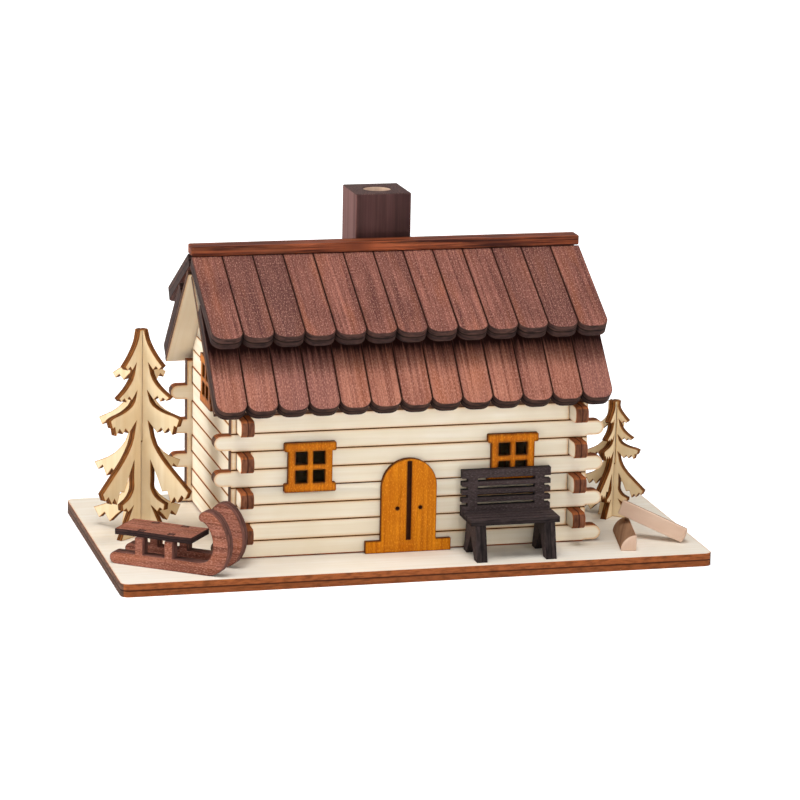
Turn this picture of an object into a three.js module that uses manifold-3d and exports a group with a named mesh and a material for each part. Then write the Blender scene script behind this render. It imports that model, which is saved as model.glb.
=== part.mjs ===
// Incense smoker house: a plywood log house that lifts off its base, with two trees, a sled, a bench and
// firewood on the base. Millimetres, +Z up, origin at the middle of the base's underside, front towards -Y.
import * as THREE from "three";
import { mergeVertices } from "three/addons/utils/BufferGeometryUtils.js";
import Module from "manifold-3d";

// Sheets, joints and gaps
const SHEET = 4; // plywood of the base, walls and shingles
const TRIM_SHEET = 1.6; // thin wood of the door and windows
const GLUE_GAP = 0.2; // glue line under a sloping or turned piece
const FIT = 0.2; // clearance on each side of a tongue in its slot
const LIFT_FIT = 0.5; // clearance between the house and the strips that locate it

// Log walls
const HOUSE_LENGTH = 107; // over the gables' outer faces
const HOUSE_DEPTH = 70.6; // over the outer faces of the front and back walls
const WALL_HEIGHT = 45.8;
const LOG_PITCH = 5.5;
const SEAM_WIDTH = 0.4;
const SEAM_DEPTH = 0.35;
const TOP_STRIP = 1; // least wood over the highest slot
const CORNER_WOOD = 1.5; // wood between a slot and the wall's edge
const LOG_END_LENGTH = 5.2; // rounded log ends past the wall's edge
const LOG_END_RELIEF = 1.1; // how much lower a log end is than its log
const GABLE_END_LENGTH = 6.6; // gable fingers past the wall's outer face
const GABLE_END_RADIUS = 1.9;

// Door and windows
const DOOR_WIDTH = 17.2;
const DOOR_HEIGHT = 29.1;
const DOOR_OFFSET = -0.8; // from the middle of the front wall
const THRESHOLD_WIDTH = 26.6;
const THRESHOLD_HEIGHT = 3.8;
const LEAF_SLOT_WIDTH = 1.4;
const LEAF_SLOT_MARGIN = 0.8; // from the slot's top to the arch
const ENGRAVING_DEPTH = 1;
const KNOB_DIAMETER = 1.25;
const KNOB_SPACING = 7.1;
const KNOB_HEIGHT = 13.8;
const WINDOW_WIDTH = 13.5;
const WINDOW_HEIGHT = 15.2;
const WINDOW_LEDGE_WIDTH = 15.9;
const WINDOW_LEDGE_HEIGHT = 2.7;
const WINDOW_LEDGE_RADIUS = 0.5;
const WINDOW_STILE = 2.2;
const WINDOW_BAR = 1.6;
const WINDOW_LAP = 1.4; // how far a frame laps over the hole behind it
const WINDOW_OFFSET = 31.4; // front windows, from the middle of the wall
const WINDOW_SILL = 20.2;
const GABLE_WINDOW_SILL = 37.8;
const GABLE_WINDOW_BACK = 4; // from the middle of the gable, towards the back

// Roof
const ROOF_LENGTH = 122;
const ROOF_PITCH = 45; // degrees
const PANEL_SHEET = 1.6;
const PANEL_TOP = 3; // down the slope from the apex
const PANEL_LENGTH = 49.2;
const LOWER_TOP = 16.5; // down the slope from the apex
const LOWER_LENGTH = 38.1;
const UPPER_LENGTH = 38.2;
const UPPER_RISE = 0.95; // upper sheets' top edges over the gables' apex
const UPPER_SPACING = 1.5; // between the upper sheets' top edges
const SHINGLES = 13;
const SCALLOP_RADIUS = 3.4;
const SHINGLE_SEAM_WIDTH = 0.45;
const SHINGLE_SEAM_DEPTH = 0.4;
const RIDGE_WIDTH = 6.4;
const RIDGE_THICKNESS = 2.9;
const RIDGE_END_RADIUS = 0.9;
const CHIMNEY_SIDE = 17.4;
const CHIMNEY_RISE = 13.6; // over the ridge strip
const CHIMNEY_BORE = 8.5;

// Base and what is under the house
const BASE_CORNER_RADIUS = 2.5;
const RIGHT_YARD = 29; // base beyond the roof's right end
const BACK_YARD = 6.7; // base beyond the back wall
const EDGE_MARGIN = 0.3; // from the sled and the left tree to the base's left edge
const FRONT_MARGIN = 0.4; // from the sled's curls to the base's front edge
const STRIP_WIDTH = 4;
const BURNER_DIAMETER = 32;
const BURNER_THICKNESS = 1;
const BURNER_CHAMFER = 0.3;

// Trees, drawn at the height of the left one
const TREE_HEIGHT = 64;
const TREE_SHEET = 2;
const TREE_CLEARANCE = 0.6; // from the left tree to the roof's end
const TREE_APEX_WOOD = 0.6; // wood beside the slot at the apex
const HALVING_SHARE = 0.46; // height of the halving joint over the tree's height
const LEFT_TREE_TURN = -50; // degrees
const LEFT_TREE_BACK = -2; // from the middle of the house, towards the back
const RIGHT_TREE_SHARE = 0.58; // height of the right tree over the left one's
const RIGHT_TREE_TURN = -42; // degrees
const RIGHT_TREE_BACK = -7.7;
const RIGHT_TREE_OUT = 11.8; // from the roof's right end

// Sled
const SLED_TURN = -36.8; // degrees
const SLED_WIDTH = 13.8;
const SLED_SHEET = 3.6;
const SLED_CLEARANCE = 0.6; // from the sled to the house's nearest log end
const RUNNER_LENGTH = 30; // flat stretch on the ground
const RUNNER_HEIGHT = 3.7;
const CURL_HEIGHT = 19.5;
const CURL_REACH = 6.8; // in front of the flat stretch
const CURL_BAND = 4.9;
const CURL_BELLY = 0.48; // height of the curl's foremost point over the curl's height
const CURL_SHOULDER = 0.72; // height at which the curl starts to turn back
const CURL_HOLLOW = 0.58; // height at which its inner side starts to turn back
const CURL_TIP_SHARE = 0.9; // thickness of the curl's tip over the runner's height
const CURL_TIP_ROUNDING = 1;
const POST_WIDTH = 2.6;
const REAR_POST = 6.4; // from the back of the flat stretch
const POST_SPACING = 9.7;
const SEAT_UNDERSIDE = 8.8;
const SEAT_SHEET = 1.8;
const SEAT_LENGTH = 25;
const SEAT_WIDTH = 12.4;
const SEAT_BACK = -0.5; // from the back of the flat stretch
const SEAT_WAVE = 1.1;
const TENON_WIDTH = 1.6;
const TENON_THICKNESS = 1.4;
const TENON_INSET = 1.5; // from the runner's outer face

// Bench
const BENCH_OFFSET = 28.9; // from the middle of the house
const BENCH_CLEARANCE = 0.3; // from its back to the window frame
const BENCH_LENGTH = 27.8;
const BENCH_SEAT_TOP = 12.5;
const BENCH_SEAT_DEPTH = 10.6;
const BENCH_SEAT_SHEET = 1.8;
const BENCH_SEAT_SLATS = 4;
const BENCH_SEAT_GROOVE = 0.45;
const BENCH_BACK_TOP = 25.2;
const BENCH_BACK_SHEET = 2.2;
const BENCH_RAIL = 2.6;
const BENCH_SLAT_PITCH = 2.5;
const BENCH_SLITS = 4;
const BENCH_SLIT_HEIGHT = 1;
const BENCH_SLIT_LENGTH = 18;
const BENCH_NOTCH_DEPTH = 1.9;
const BENCH_LEG_SPACING = 21.6;
const BENCH_LEG_SHEET = 3.3;
const BENCH_FOOT = 3.4;
const BENCH_FOOT_SPREAD = 15.4;
const BENCH_LEG_TOP = 10;
const BENCH_LEG_NOTCH = 6;
const BENCH_LEG_CROTCH = 0.8;

// Firewood
const BILLET_RADIUS = 4.8;
const LOWER_BILLET_LENGTH = 22;
const LOWER_BILLET_TURN = 78.6; // degrees
const LOWER_BILLET_OUT = 7.4; // from the right log ends to its nearest bottom edge
const LOWER_BILLET_FRONT = 13.2; // its front end, in front of the front wall
const UPPER_BILLET_LENGTH = 21.5;
const UPPER_BILLET_TURN = -32; // degrees
const UPPER_BILLET_CROSSING = 4.8; // from its raised end to the lower billet
const LOWER_BILLET_CROSSING = 14; // from the lower billet's front end to the upper one

// Colours, roughness and metalness
const PALE_PLY = { color: 0xebddc3, roughness: 0.72, metalness: 0 };
const TREE_PLY = { color: 0xecd9b0, roughness: 0.74, metalness: 0 };
const STAINED_SHINGLE = { color: 0x84504a, roughness: 0.7, metalness: 0 };
const RIDGE_STAIN = { color: 0x7a3318, roughness: 0.4, metalness: 0 };
const CHIMNEY_STAIN = { color: 0x5a3e3a, roughness: 0.65, metalness: 0 };
const ORANGE_STAIN = { color: 0xcc7712, roughness: 0.55, metalness: 0 };
const SLED_STAIN = { color: 0x8b4f41, roughness: 0.7, metalness: 0 };
const CHARCOAL_STAIN = { color: 0x332b2c, roughness: 0.7, metalness: 0 };
const SPLIT_WOOD = { color: 0xd3ae95, roughness: 0.75, metalness: 0 };
const BURNER_METAL = { color: 0xb9bbbd, roughness: 0.35, metalness: 1 };

const ROUND_STEPS = 4; // each arc has twice as many facets
const CURVE_STEPS = 8;
const SCALLOP_STEPS = 3;
const SWEEP_STEPS = 2; // facets of a tree's sweep for each point it passes
const KNOB_FACETS = 10;
const BORE_FACETS = 24;
const OVERCUT = 1; // how far a cutting tool reaches past a face
const MERGE_DISTANCE = 1e-3;
const QUARTER = Math.PI / 2;
const radians = THREE.MathUtils.degToRad;

const wasm = await Module();
wasm.setup();

// Solids

function solidOf(geometry) {
  const bare = geometry.clone();
  bare.deleteAttribute("normal");
  bare.deleteAttribute("uv");
  const merged = mergeVertices(bare, MERGE_DISTANCE);
  return new wasm.Manifold(
    new wasm.Mesh({
      numProp: 3,
      vertProperties: merged.attributes.position.array,
      triVerts: new Uint32Array(merged.index.array),
    }),
  );
}

function geometryOf(solid) {
  const { vertProperties, triVerts } = solid.getMesh();
  const geometry = new THREE.BufferGeometry();
  geometry.setAttribute("position", new THREE.BufferAttribute(vertProperties, 3));
  geometry.setIndex(new THREE.BufferAttribute(triVerts, 1));
  geometry.computeVertexNormals();
  return geometry;
}

function cut(geometry, tools) {
  const left = tools.reduce((solid, tool) => solid.subtract(solidOf(tool)), solidOf(geometry));
  return geometryOf(left);
}

function join(geometry, additions) {
  const whole = additions.reduce((solid, addition) => solid.add(solidOf(addition)), solidOf(geometry));
  return geometryOf(whole);
}

function box(x0, x1, y0, y1, z0, z1) {
  const geometry = new THREE.BoxGeometry(x1 - x0, y1 - y0, z1 - z0);
  return geometry.translate((x0 + x1) / 2, (y0 + y1) / 2, (z0 + z1) / 2);
}

// Points of an outline without those that repeat the point before them
function spaced(points) {
  return points.filter((point, index) => point.distanceTo(points.at(index - 1)) > MERGE_DISTANCE);
}

function plate(shape, thickness, curveSegments = ROUND_STEPS) {
  const outline = new THREE.Shape(spaced(shape.getPoints(curveSegments)));
  return new THREE.ExtrudeGeometry(outline, { depth: thickness, bevelEnabled: false });
}

function piece(name, geometry, look) {
  const mesh = new THREE.Mesh(geometry, new THREE.MeshStandardMaterial(look));
  mesh.name = name;
  return mesh;
}

// Outlines

function polygon(points) {
  return new THREE.Shape(points.map(([x, y]) => new THREE.Vector2(x, y)));
}

function rectangle(x0, x1, y0, y1) {
  return polygon([[x0, y0], [x1, y0], [x1, y1], [x0, y1]]);
}

function roundedRectangle(x0, x1, y0, y1, radius) {
  const shape = new THREE.Shape();
  shape.moveTo(x0 + radius, y0);
  shape.lineTo(x1 - radius, y0);
  shape.absarc(x1 - radius, y0 + radius, radius, -QUARTER, 0);
  shape.lineTo(x1, y1 - radius);
  shape.absarc(x1 - radius, y1 - radius, radius, 0, QUARTER);
  shape.lineTo(x0 + radius, y1);
  shape.absarc(x0 + radius, y1 - radius, radius, QUARTER, 2 * QUARTER);
  shape.lineTo(x0, y0 + radius);
  shape.absarc(x0 + radius, y0 + radius, radius, 2 * QUARTER, 3 * QUARTER);
  return shape;
}

// Frames: every wall, slope or plate is drawn with x to the right, y up and z outwards

function uprightFrame(parent, turn, distance) {
  const side = new THREE.Group();
  side.rotation.z = turn;
  const face = new THREE.Group();
  face.position.y = -distance;
  face.rotation.x = QUARTER;
  side.add(face);
  parent.add(side);
  return face;
}

function slopeFrame(parent, turn, out, height, pitch) {
  const half = new THREE.Group();
  half.rotation.z = turn;
  const slope = new THREE.Group();
  slope.position.set(0, -out, height);
  slope.rotation.x = pitch;
  half.add(slope);
  parent.add(half);
  return slope;
}

// Worked-out sizes of the house

const wallOuter = HOUSE_DEPTH / 2;
const wallInner = wallOuter - SHEET;
const gableOuter = HOUSE_LENGTH / 2;
const gableInner = gableOuter - SHEET;
const wallEdge = gableOuter + FIT + CORNER_WOOD;
const wallTip = wallEdge + LOG_END_LENGTH;
const gableTip = wallOuter + GABLE_END_LENGTH;
const logRows = Math.floor((WALL_HEIGHT - TOP_STRIP) / LOG_PITCH);
const roofPitch = radians(ROOF_PITCH);
const apex = WALL_HEIGHT + GLUE_GAP + wallOuter * Math.tan(roofPitch);
const roofEnd = ROOF_LENGTH / 2;
const lowerUnderside = GLUE_GAP + PANEL_SHEET + GLUE_GAP; // off the gables' slope

// Walls

// Every other row of logs ends in gable fingers, where they fit under the lower shingles
function isGableRow(row) {
  const shoulder = gableTip - GABLE_END_RADIUS;
  const bend = (row + 1) * LOG_PITCH - FIT - GABLE_END_RADIUS;
  const eavesReach = (LOWER_TOP + LOWER_LENGTH) * Math.cos(roofPitch) + lowerUnderside * Math.sin(roofPitch);
  const depth = (apex - bend) * Math.cos(roofPitch) - shoulder * Math.sin(roofPitch) + lowerUnderside;
  const fits = depth > GABLE_END_RADIUS + FIT || eavesReach < shoulder + GABLE_END_RADIUS / 2;
  return row % 2 === 1 && fits;
}
const rows = [...Array(logRows).keys()];

function wallOutline() {
  const half = (LOG_PITCH - LOG_END_RELIEF) / 2;
  const logEnds = rows.filter((row) => !isGableRow(row));
  const shape = new THREE.Shape();
  shape.moveTo(-wallEdge, 0);
  shape.lineTo(wallEdge, 0);
  for (const row of logEnds) {
    const middle = (row + 0.5) * LOG_PITCH;
    shape.lineTo(wallEdge, middle - half);
    shape.lineTo(wallTip - half, middle - half);
    shape.absarc(wallTip - half, middle, half, -QUARTER, QUARTER);
    shape.lineTo(wallEdge, middle + half);
  }
  shape.lineTo(wallEdge, WALL_HEIGHT);
  shape.lineTo(-wallEdge, WALL_HEIGHT);
  for (const row of logEnds.reverse()) {
    const middle = (row + 0.5) * LOG_PITCH;
    shape.lineTo(-wallEdge, middle + half);
    shape.lineTo(-wallTip + half, middle + half);
    shape.absarc(-wallTip + half, middle, half, QUARTER, 3 * QUARTER);
    shape.lineTo(-wallEdge, middle - half);
  }
  return shape;
}

// A tool that cuts a rectangle right through a sheet
function through(x0, x1, y0, y1, thickness) {
  return box(x0, x1, y0, y1, -OVERCUT, thickness + OVERCUT);
}

function gableSlots() {
  return rows.filter(isGableRow).flatMap((row) => {
    const low = row * LOG_PITCH;
    const high = low + LOG_PITCH;
    return [
      through(gableInner - FIT, gableOuter + FIT, low, high, SHEET),
      through(-gableOuter - FIT, -gableInner + FIT, low, high, SHEET),
    ];
  });
}

function seams(halfWidth, height) {
  const count = Math.ceil(height / LOG_PITCH) - 1;
  return [...Array(count).keys()].map((seam) => {
    const middle = (seam + 1) * LOG_PITCH;
    const low = middle - SEAM_WIDTH / 2;
    return box(-halfWidth, halfWidth, low, low + SEAM_WIDTH, SHEET - SEAM_DEPTH, SHEET + OVERCUT);
  });
}

function windowHole(middle, sill) {
  const half = WINDOW_WIDTH / 2 - WINDOW_LAP;
  const top = sill + WINDOW_HEIGHT - WINDOW_LAP;
  return through(middle - half, middle + half, sill + WINDOW_LAP, top, SHEET);
}

function wall(name, windowMiddles) {
  const windowHoles = windowMiddles.map((middle) => windowHole(middle, WINDOW_SILL));
  const tools = [...gableSlots(), ...windowHoles, ...seams(wallEdge + OVERCUT, WALL_HEIGHT)];
  const mesh = piece(name, cut(plate(wallOutline(), SHEET), tools), PALE_PLY);
  mesh.position.z = -SHEET;
  return mesh;
}

function gableOutline() {
  const eaves = apex - wallInner * Math.tan(roofPitch);
  const fingers = rows.filter(isGableRow);
  const radius = GABLE_END_RADIUS;
  const shape = new THREE.Shape();
  shape.moveTo(-wallInner, 0);
  shape.lineTo(wallInner, 0);
  for (const row of fingers) {
    const low = row * LOG_PITCH + FIT;
    const high = (row + 1) * LOG_PITCH - FIT;
    shape.lineTo(wallInner, low);
    shape.lineTo(gableTip - radius, low);
    shape.absarc(gableTip - radius, low + radius, radius, -QUARTER, 0);
    shape.absarc(gableTip - radius, high - radius, radius, 0, QUARTER);
    shape.lineTo(wallInner, high);
  }
  shape.lineTo(wallInner, eaves);
  shape.lineTo(0, apex);
  shape.lineTo(-wallInner, eaves);
  for (const row of fingers.reverse()) {
    const low = row * LOG_PITCH + FIT;
    const high = (row + 1) * LOG_PITCH - FIT;
    shape.lineTo(-wallInner, high);
    shape.lineTo(-gableTip + radius, high);
    shape.absarc(-gableTip + radius, high - radius, radius, QUARTER, 2 * QUARTER);
    shape.absarc(-gableTip + radius, low + radius, radius, 2 * QUARTER, 3 * QUARTER);
    shape.lineTo(-wallInner, low);
  }
  return shape;
}

function gable(name, windowMiddle) {
  const tools = [windowHole(windowMiddle, GABLE_WINDOW_SILL), ...seams(wallOuter, apex)];
  const mesh = piece(name, cut(plate(gableOutline(), SHEET), tools), PALE_PLY);
  mesh.position.z = -SHEET;
  return mesh;
}

// Door and windows

function windowFrame(name, middle, sill) {
  const half = WINDOW_WIDTH / 2;
  const ledge = WINDOW_LEDGE_WIDTH / 2;
  const top = WINDOW_HEIGHT;
  const bottomLedge = roundedRectangle(-ledge, ledge, 0, WINDOW_LEDGE_HEIGHT, WINDOW_LEDGE_RADIUS);
  const topLedge = roundedRectangle(-ledge, ledge, top - WINDOW_LEDGE_HEIGHT, top, WINDOW_LEDGE_RADIUS);
  const field = rectangle(-half, half, WINDOW_LEDGE_HEIGHT / 2, top - WINDOW_LEDGE_HEIGHT / 2);
  const paneWidth = half - WINDOW_STILE - WINDOW_BAR / 2;
  const paneHeight = top / 2 - WINDOW_LEDGE_HEIGHT - WINDOW_BAR / 2;
  const panes = [-1, 1].flatMap((across) =>
    [-1, 1].map((up) => {
      const pane = new THREE.BoxGeometry(paneWidth, paneHeight, TRIM_SHEET + 2 * OVERCUT);
      const x = (across * (WINDOW_BAR + paneWidth)) / 2;
      const y = (top + up * (WINDOW_BAR + paneHeight)) / 2;
      return pane.translate(x, y, TRIM_SHEET / 2);
    }),
  );
  const ledges = [bottomLedge, topLedge].map((outline) => plate(outline, TRIM_SHEET));
  const solid = join(plate(field, TRIM_SHEET), ledges);
  const mesh = piece(name, cut(solid, panes), ORANGE_STAIN);
  mesh.position.set(middle, sill, 0);
  return mesh;
}

function door() {
  const half = DOOR_WIDTH / 2;
  const springing = DOOR_HEIGHT - half;
  const leaves = new THREE.Shape();
  leaves.moveTo(-half, THRESHOLD_HEIGHT / 2);
  leaves.lineTo(half, THRESHOLD_HEIGHT / 2);
  leaves.lineTo(half, springing);
  leaves.absarc(0, springing, half, 0, 2 * QUARTER);
  const threshold = rectangle(-THRESHOLD_WIDTH / 2, THRESHOLD_WIDTH / 2, 0, THRESHOLD_HEIGHT);
  const floor = TRIM_SHEET - ENGRAVING_DEPTH;
  const slotTop = DOOR_HEIGHT - LEAF_SLOT_MARGIN;
  const slotHalf = LEAF_SLOT_WIDTH / 2;
  const slot = box(-slotHalf, slotHalf, THRESHOLD_HEIGHT, slotTop, floor, TRIM_SHEET + OVERCUT);
  const knobRadius = KNOB_DIAMETER / 2;
  const knobs = [-1, 1].map((side) => {
    const hole = new THREE.CylinderGeometry(knobRadius, knobRadius, 2 * ENGRAVING_DEPTH, KNOB_FACETS);
    return hole.rotateX(QUARTER).translate((side * KNOB_SPACING) / 2, KNOB_HEIGHT, TRIM_SHEET);
  });
  const solid = join(plate(leaves, TRIM_SHEET, CURVE_STEPS), [plate(threshold, TRIM_SHEET)]);
  const mesh = piece("door", cut(solid, [slot, ...knobs]), ORANGE_STAIN);
  mesh.position.x = DOOR_OFFSET;
  return mesh;
}

// Roof: the thin panel lies on the gables, the lower shingles on the panel, and the upper shingles lean
// from the lower ones' top edge to the ridge

const lowerOuter = lowerUnderside + SHEET;
const lowerCorner = {
  out: LOWER_TOP * Math.cos(roofPitch) + lowerOuter * Math.sin(roofPitch),
  height: apex - LOWER_TOP * Math.sin(roofPitch) + lowerOuter * Math.cos(roofPitch),
};
const upperTop = { out: UPPER_SPACING / 2, height: apex + UPPER_RISE };
const cornerRun = lowerCorner.out - upperTop.out;
const cornerDrop = upperTop.height - lowerCorner.height;
// The upper sheet's underside clears the lower sheet's corner by the glue line
const cornerAngle = Math.atan2(cornerDrop, cornerRun);
const upperPitch = cornerAngle - Math.asin(GLUE_GAP / Math.hypot(cornerRun, cornerDrop));
const upperCrest = {
  out: upperTop.out + SHEET * Math.sin(upperPitch),
  height: upperTop.height + SHEET * Math.cos(upperPitch),
};
const ridgeUnderside = upperCrest.height + GLUE_GAP;
const ridgeTop = ridgeUnderside + RIDGE_THICKNESS;

function shingles(name, length) {
  const width = ROOF_LENGTH / SHINGLES;
  const radius = SCALLOP_RADIUS;
  const shape = new THREE.Shape();
  shape.moveTo(roofEnd, 0);
  shape.lineTo(-roofEnd, 0);
  for (let index = 0; index < SHINGLES; index += 1) {
    const left = -roofEnd + index * width;
    const right = left + width;
    shape.lineTo(left, -length + radius);
    shape.absarc(left + radius, -length + radius, radius, 2 * QUARTER, 3 * QUARTER);
    shape.lineTo(right - radius, -length);
    shape.absarc(right - radius, -length + radius, radius, 3 * QUARTER, 4 * QUARTER);
  }
  const grooves = [...Array(SHINGLES - 1).keys()].map((index) => {
    const left = -roofEnd + (index + 1) * width - SHINGLE_SEAM_WIDTH / 2;
    const floor = SHEET - SHINGLE_SEAM_DEPTH;
    return box(left, left + SHINGLE_SEAM_WIDTH, -length, OVERCUT, floor, SHEET + OVERCUT);
  });
  return piece(name, cut(plate(shape, SHEET, SCALLOP_STEPS), grooves), STAINED_SHINGLE);
}

function roofHalf(house, place, turn) {
  const slope = slopeFrame(house, turn, 0, apex, roofPitch);
  const panel = piece(
    `roof_panel_${place}`,
    plate(rectangle(-roofEnd, roofEnd, -PANEL_LENGTH, 0), PANEL_SHEET),
    PALE_PLY,
  );
  panel.position.set(0, -PANEL_TOP, GLUE_GAP);
  const lower = shingles(`lower_shingles_${place}`, LOWER_LENGTH);
  lower.position.set(0, -LOWER_TOP, lowerUnderside);
  slope.add(panel, lower);
  const upper = shingles(`upper_shingles_${place}`, UPPER_LENGTH);
  slopeFrame(house, turn, upperTop.out, upperTop.height, upperPitch).add(upper);
  return [panel, lower, upper];
}

function ridgeStrip() {
  const half = RIDGE_WIDTH / 2;
  const shape = roundedRectangle(-roofEnd, roofEnd, -half, half, RIDGE_END_RADIUS);
  const mesh = piece("ridge_strip", plate(shape, RIDGE_THICKNESS), RIDGE_STAIN);
  mesh.position.z = ridgeUnderside;
  return mesh;
}

const chimneyFront = RIDGE_WIDTH / 2 + FIT;
const chimneyMiddle = chimneyFront + CHIMNEY_SIDE / 2;

function chimney() {
  const lift = GLUE_GAP / Math.cos(upperPitch);
  const roofHeight = (y) => upperCrest.height - (y - upperCrest.out) * Math.tan(upperPitch) + lift;
  const back = chimneyFront + CHIMNEY_SIDE;
  const shape = polygon([
    [chimneyFront, roofHeight(chimneyFront)],
    [back, roofHeight(back)],
    [back, ridgeTop + CHIMNEY_RISE],
    [chimneyFront, ridgeTop + CHIMNEY_RISE],
  ]);
  const mesh = piece("chimney", plate(shape, CHIMNEY_SIDE), CHIMNEY_STAIN);
  mesh.position.z = -CHIMNEY_SIDE / 2;
  return mesh;
}

// The smoke bore runs straight down through the chimney, the back shingles and the back panel
function drillSmokeBore(house, meshes) {
  const radius = CHIMNEY_BORE / 2;
  const length = ridgeTop + CHIMNEY_RISE + 2 * OVERCUT;
  const drill = new THREE.CylinderGeometry(radius, radius, length, BORE_FACETS);
  drill.rotateX(QUARTER).translate(0, chimneyMiddle, length / 2);
  house.updateMatrixWorld(true);
  for (const mesh of meshes) {
    const toMesh = mesh.matrixWorld.clone().invert().multiply(house.matrixWorld);
    mesh.geometry = cut(mesh.geometry, [drill.clone().applyMatrix4(toMesh)]);
  }
}

function buildHouse() {
  const house = new THREE.Group();
  const front = uprightFrame(house, 0, wallOuter);
  const right = uprightFrame(house, QUARTER, gableOuter);
  const back = uprightFrame(house, 2 * QUARTER, wallOuter);
  const left = uprightFrame(house, -QUARTER, gableOuter);
  front.add(wall("front_wall", [-WINDOW_OFFSET, WINDOW_OFFSET]), door());
  front.add(windowFrame("window_front_left", -WINDOW_OFFSET, WINDOW_SILL));
  front.add(windowFrame("window_front_right", WINDOW_OFFSET, WINDOW_SILL));
  back.add(wall("back_wall", []));
  right.add(gable("right_gable", GABLE_WINDOW_BACK));
  right.add(windowFrame("window_right_gable", GABLE_WINDOW_BACK, GABLE_WINDOW_SILL));
  left.add(gable("left_gable", -GABLE_WINDOW_BACK));
  left.add(windowFrame("window_left_gable", -GABLE_WINDOW_BACK, GABLE_WINDOW_SILL));
  roofHalf(house, "front", 0);
  const backSheets = roofHalf(house, "back", 2 * QUARTER);
  house.add(ridgeStrip());
  const stack = chimney();
  uprightFrame(house, QUARTER, 0).add(stack);
  drillSmokeBore(house, [stack, ...backSheets]);
  return house;
}

// Trees: one side of a plate has five branches, the other four. Each branch sweeps out from the trunk to
// its tip, then comes back along its teeth to the notch over the next branch, in millimetres out from the
// axis and up, on the left tree.
const branch = (sweep, teeth) => ({ sweep, tip: sweep.at(-1), teeth });
const FIVE_BRANCHES = [
  branch([[3, 60.4], [5.8, 56.6], [8.8, 53.8]], [[7.6, 52.6], [6.4, 53.5], [5.4, 52.2], [3.5, 54.2]]),
  branch(
    [[4.9, 49.7], [8, 46.7], [11.7, 44.6]],
    [[10.5, 43.4], [9.2, 44.2], [8.2, 42.8], [7, 44.4], [5.6, 43], [3.2, 45.5]],
  ),
  branch(
    [[4.6, 41.7], [8.9, 39.8], [13.6, 39.1], [15.6, 38.4]],
    [[14.6, 35.8], [13.6, 36.2], [12.9, 33.2], [11.4, 35.2], [9.8, 33.2], [8.6, 34.8], [7, 33], [3.5, 36.2]],
  ),
  branch(
    [[5.1, 30], [8.7, 25.2], [13.7, 20.9], [19.2, 16.4]],
    [[18, 14], [16.6, 15], [15, 12.4], [13.8, 14], [12.5, 11.8], [11, 15.6], [9, 15], [7.2, 19], [4.5, 24]],
  ),
  branch(
    [[4.6, 18.4], [4.6, 15.2], [6.6, 12.6], [10, 11.2]],
    [[9.7, 9.2], [8.2, 9.8], [7.2, 8.4], [4.8, 9.9]],
  ),
];
const FOUR_BRANCHES = [
  branch([[3.4, 56.4], [6.4, 52.2], [10.5, 49.2]], [[9.4, 47.6], [7.8, 49], [6.2, 47.4], [3, 50.6]]),
  branch(
    [[4.4, 43.4], [9, 38.2], [16, 34.4]],
    [[14.6, 32.2], [12.6, 33.8], [10.9, 31.6], [8.9, 34.4], [7, 32.8], [3.2, 37]],
  ),
  branch(
    [[5, 29.4], [10.4, 23.6], [17.8, 20]],
    [[16.2, 17.8], [14.4, 19.4], [12.9, 16.2], [10.7, 19], [8.8, 16.6], [6.8, 19.6], [3.4, 23]],
  ),
  branch([[5, 14.4], [11, 8.8], [18, 5.6]], [[15.8, 2.6], [13.6, 4.6], [11.6, 2], [9.2, 4.4], [6, 7]]),
];
const TREE_FOOT = [10.5, 7]; // reach of the foot on the five-branch side and on the other

// One side of the outline, from the apex down to the foot
function treeSide(side, branches, foot, share) {
  const place = ([out, up]) => new THREE.Vector2(side * out * share, up * share);
  const path = new THREE.Path();
  path.moveTo(side * (TREE_SHEET / 2 + FIT + TREE_APEX_WOOD), TREE_HEIGHT * share);
  for (const { sweep, teeth } of branches) {
    path.splineThru(sweep.map(place));
    teeth.map(place).forEach(({ x, y }) => path.lineTo(x, y));
  }
  path.lineTo(side * foot * share, 0);
  return path.getPoints(SWEEP_STEPS);
}

function treeOutline(share) {
  const right = treeSide(1, FIVE_BRANCHES, TREE_FOOT[0], share);
  const left = treeSide(-1, FOUR_BRANCHES, TREE_FOOT[1], share);
  return new THREE.Shape([...right, ...left.reverse()]);
}

function tree(parent, name, share, x, y, turn) {
  const group = new THREE.Group();
  group.position.set(x, y, 0);
  group.rotation.z = turn;
  const half = TREE_SHEET / 2 + FIT;
  const height = TREE_HEIGHT * share;
  const middle = height * HALVING_SHARE;
  const lowerSlot = box(-half, half, -OVERCUT, middle + FIT / 2, -OVERCUT, TREE_SHEET + OVERCUT);
  const upperSlot = box(-half, half, middle - FIT / 2, height + OVERCUT, -OVERCUT, TREE_SHEET + OVERCUT);
  const blank = plate(treeOutline(share), TREE_SHEET);
  const plates = { a: { slot: upperSlot, angle: 0 }, b: { slot: lowerSlot, angle: -QUARTER } };
  for (const [letter, { slot, angle }] of Object.entries(plates)) {
    const mesh = piece(`${name}_plate_${letter}`, cut(blank, [slot]), TREE_PLY);
    mesh.position.z = -TREE_SHEET / 2;
    uprightFrame(group, angle, 0).add(mesh);
  }
  parent.add(group);
}

// How far a tree reaches left and right of its axis when its plates are turned
function treeReach(share, turn) {
  const longest = (branches) => Math.max(...branches.map(({ tip }) => tip[0])) * share;
  const arms = [
    { angle: turn, length: longest(FIVE_BRANCHES) },
    { angle: turn - QUARTER, length: longest(FIVE_BRANCHES) },
    { angle: turn + 2 * QUARTER, length: longest(FOUR_BRANCHES) },
    { angle: turn + QUARTER, length: longest(FOUR_BRANCHES) },
  ];
  const halfSheet = TREE_SHEET / 2;
  const ends = arms.flatMap(({ angle, length }) =>
    [-halfSheet, halfSheet].map((side) => length * Math.cos(angle) + side * Math.sin(angle)),
  );
  return { left: -Math.min(...ends), right: Math.max(...ends) };
}

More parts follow.
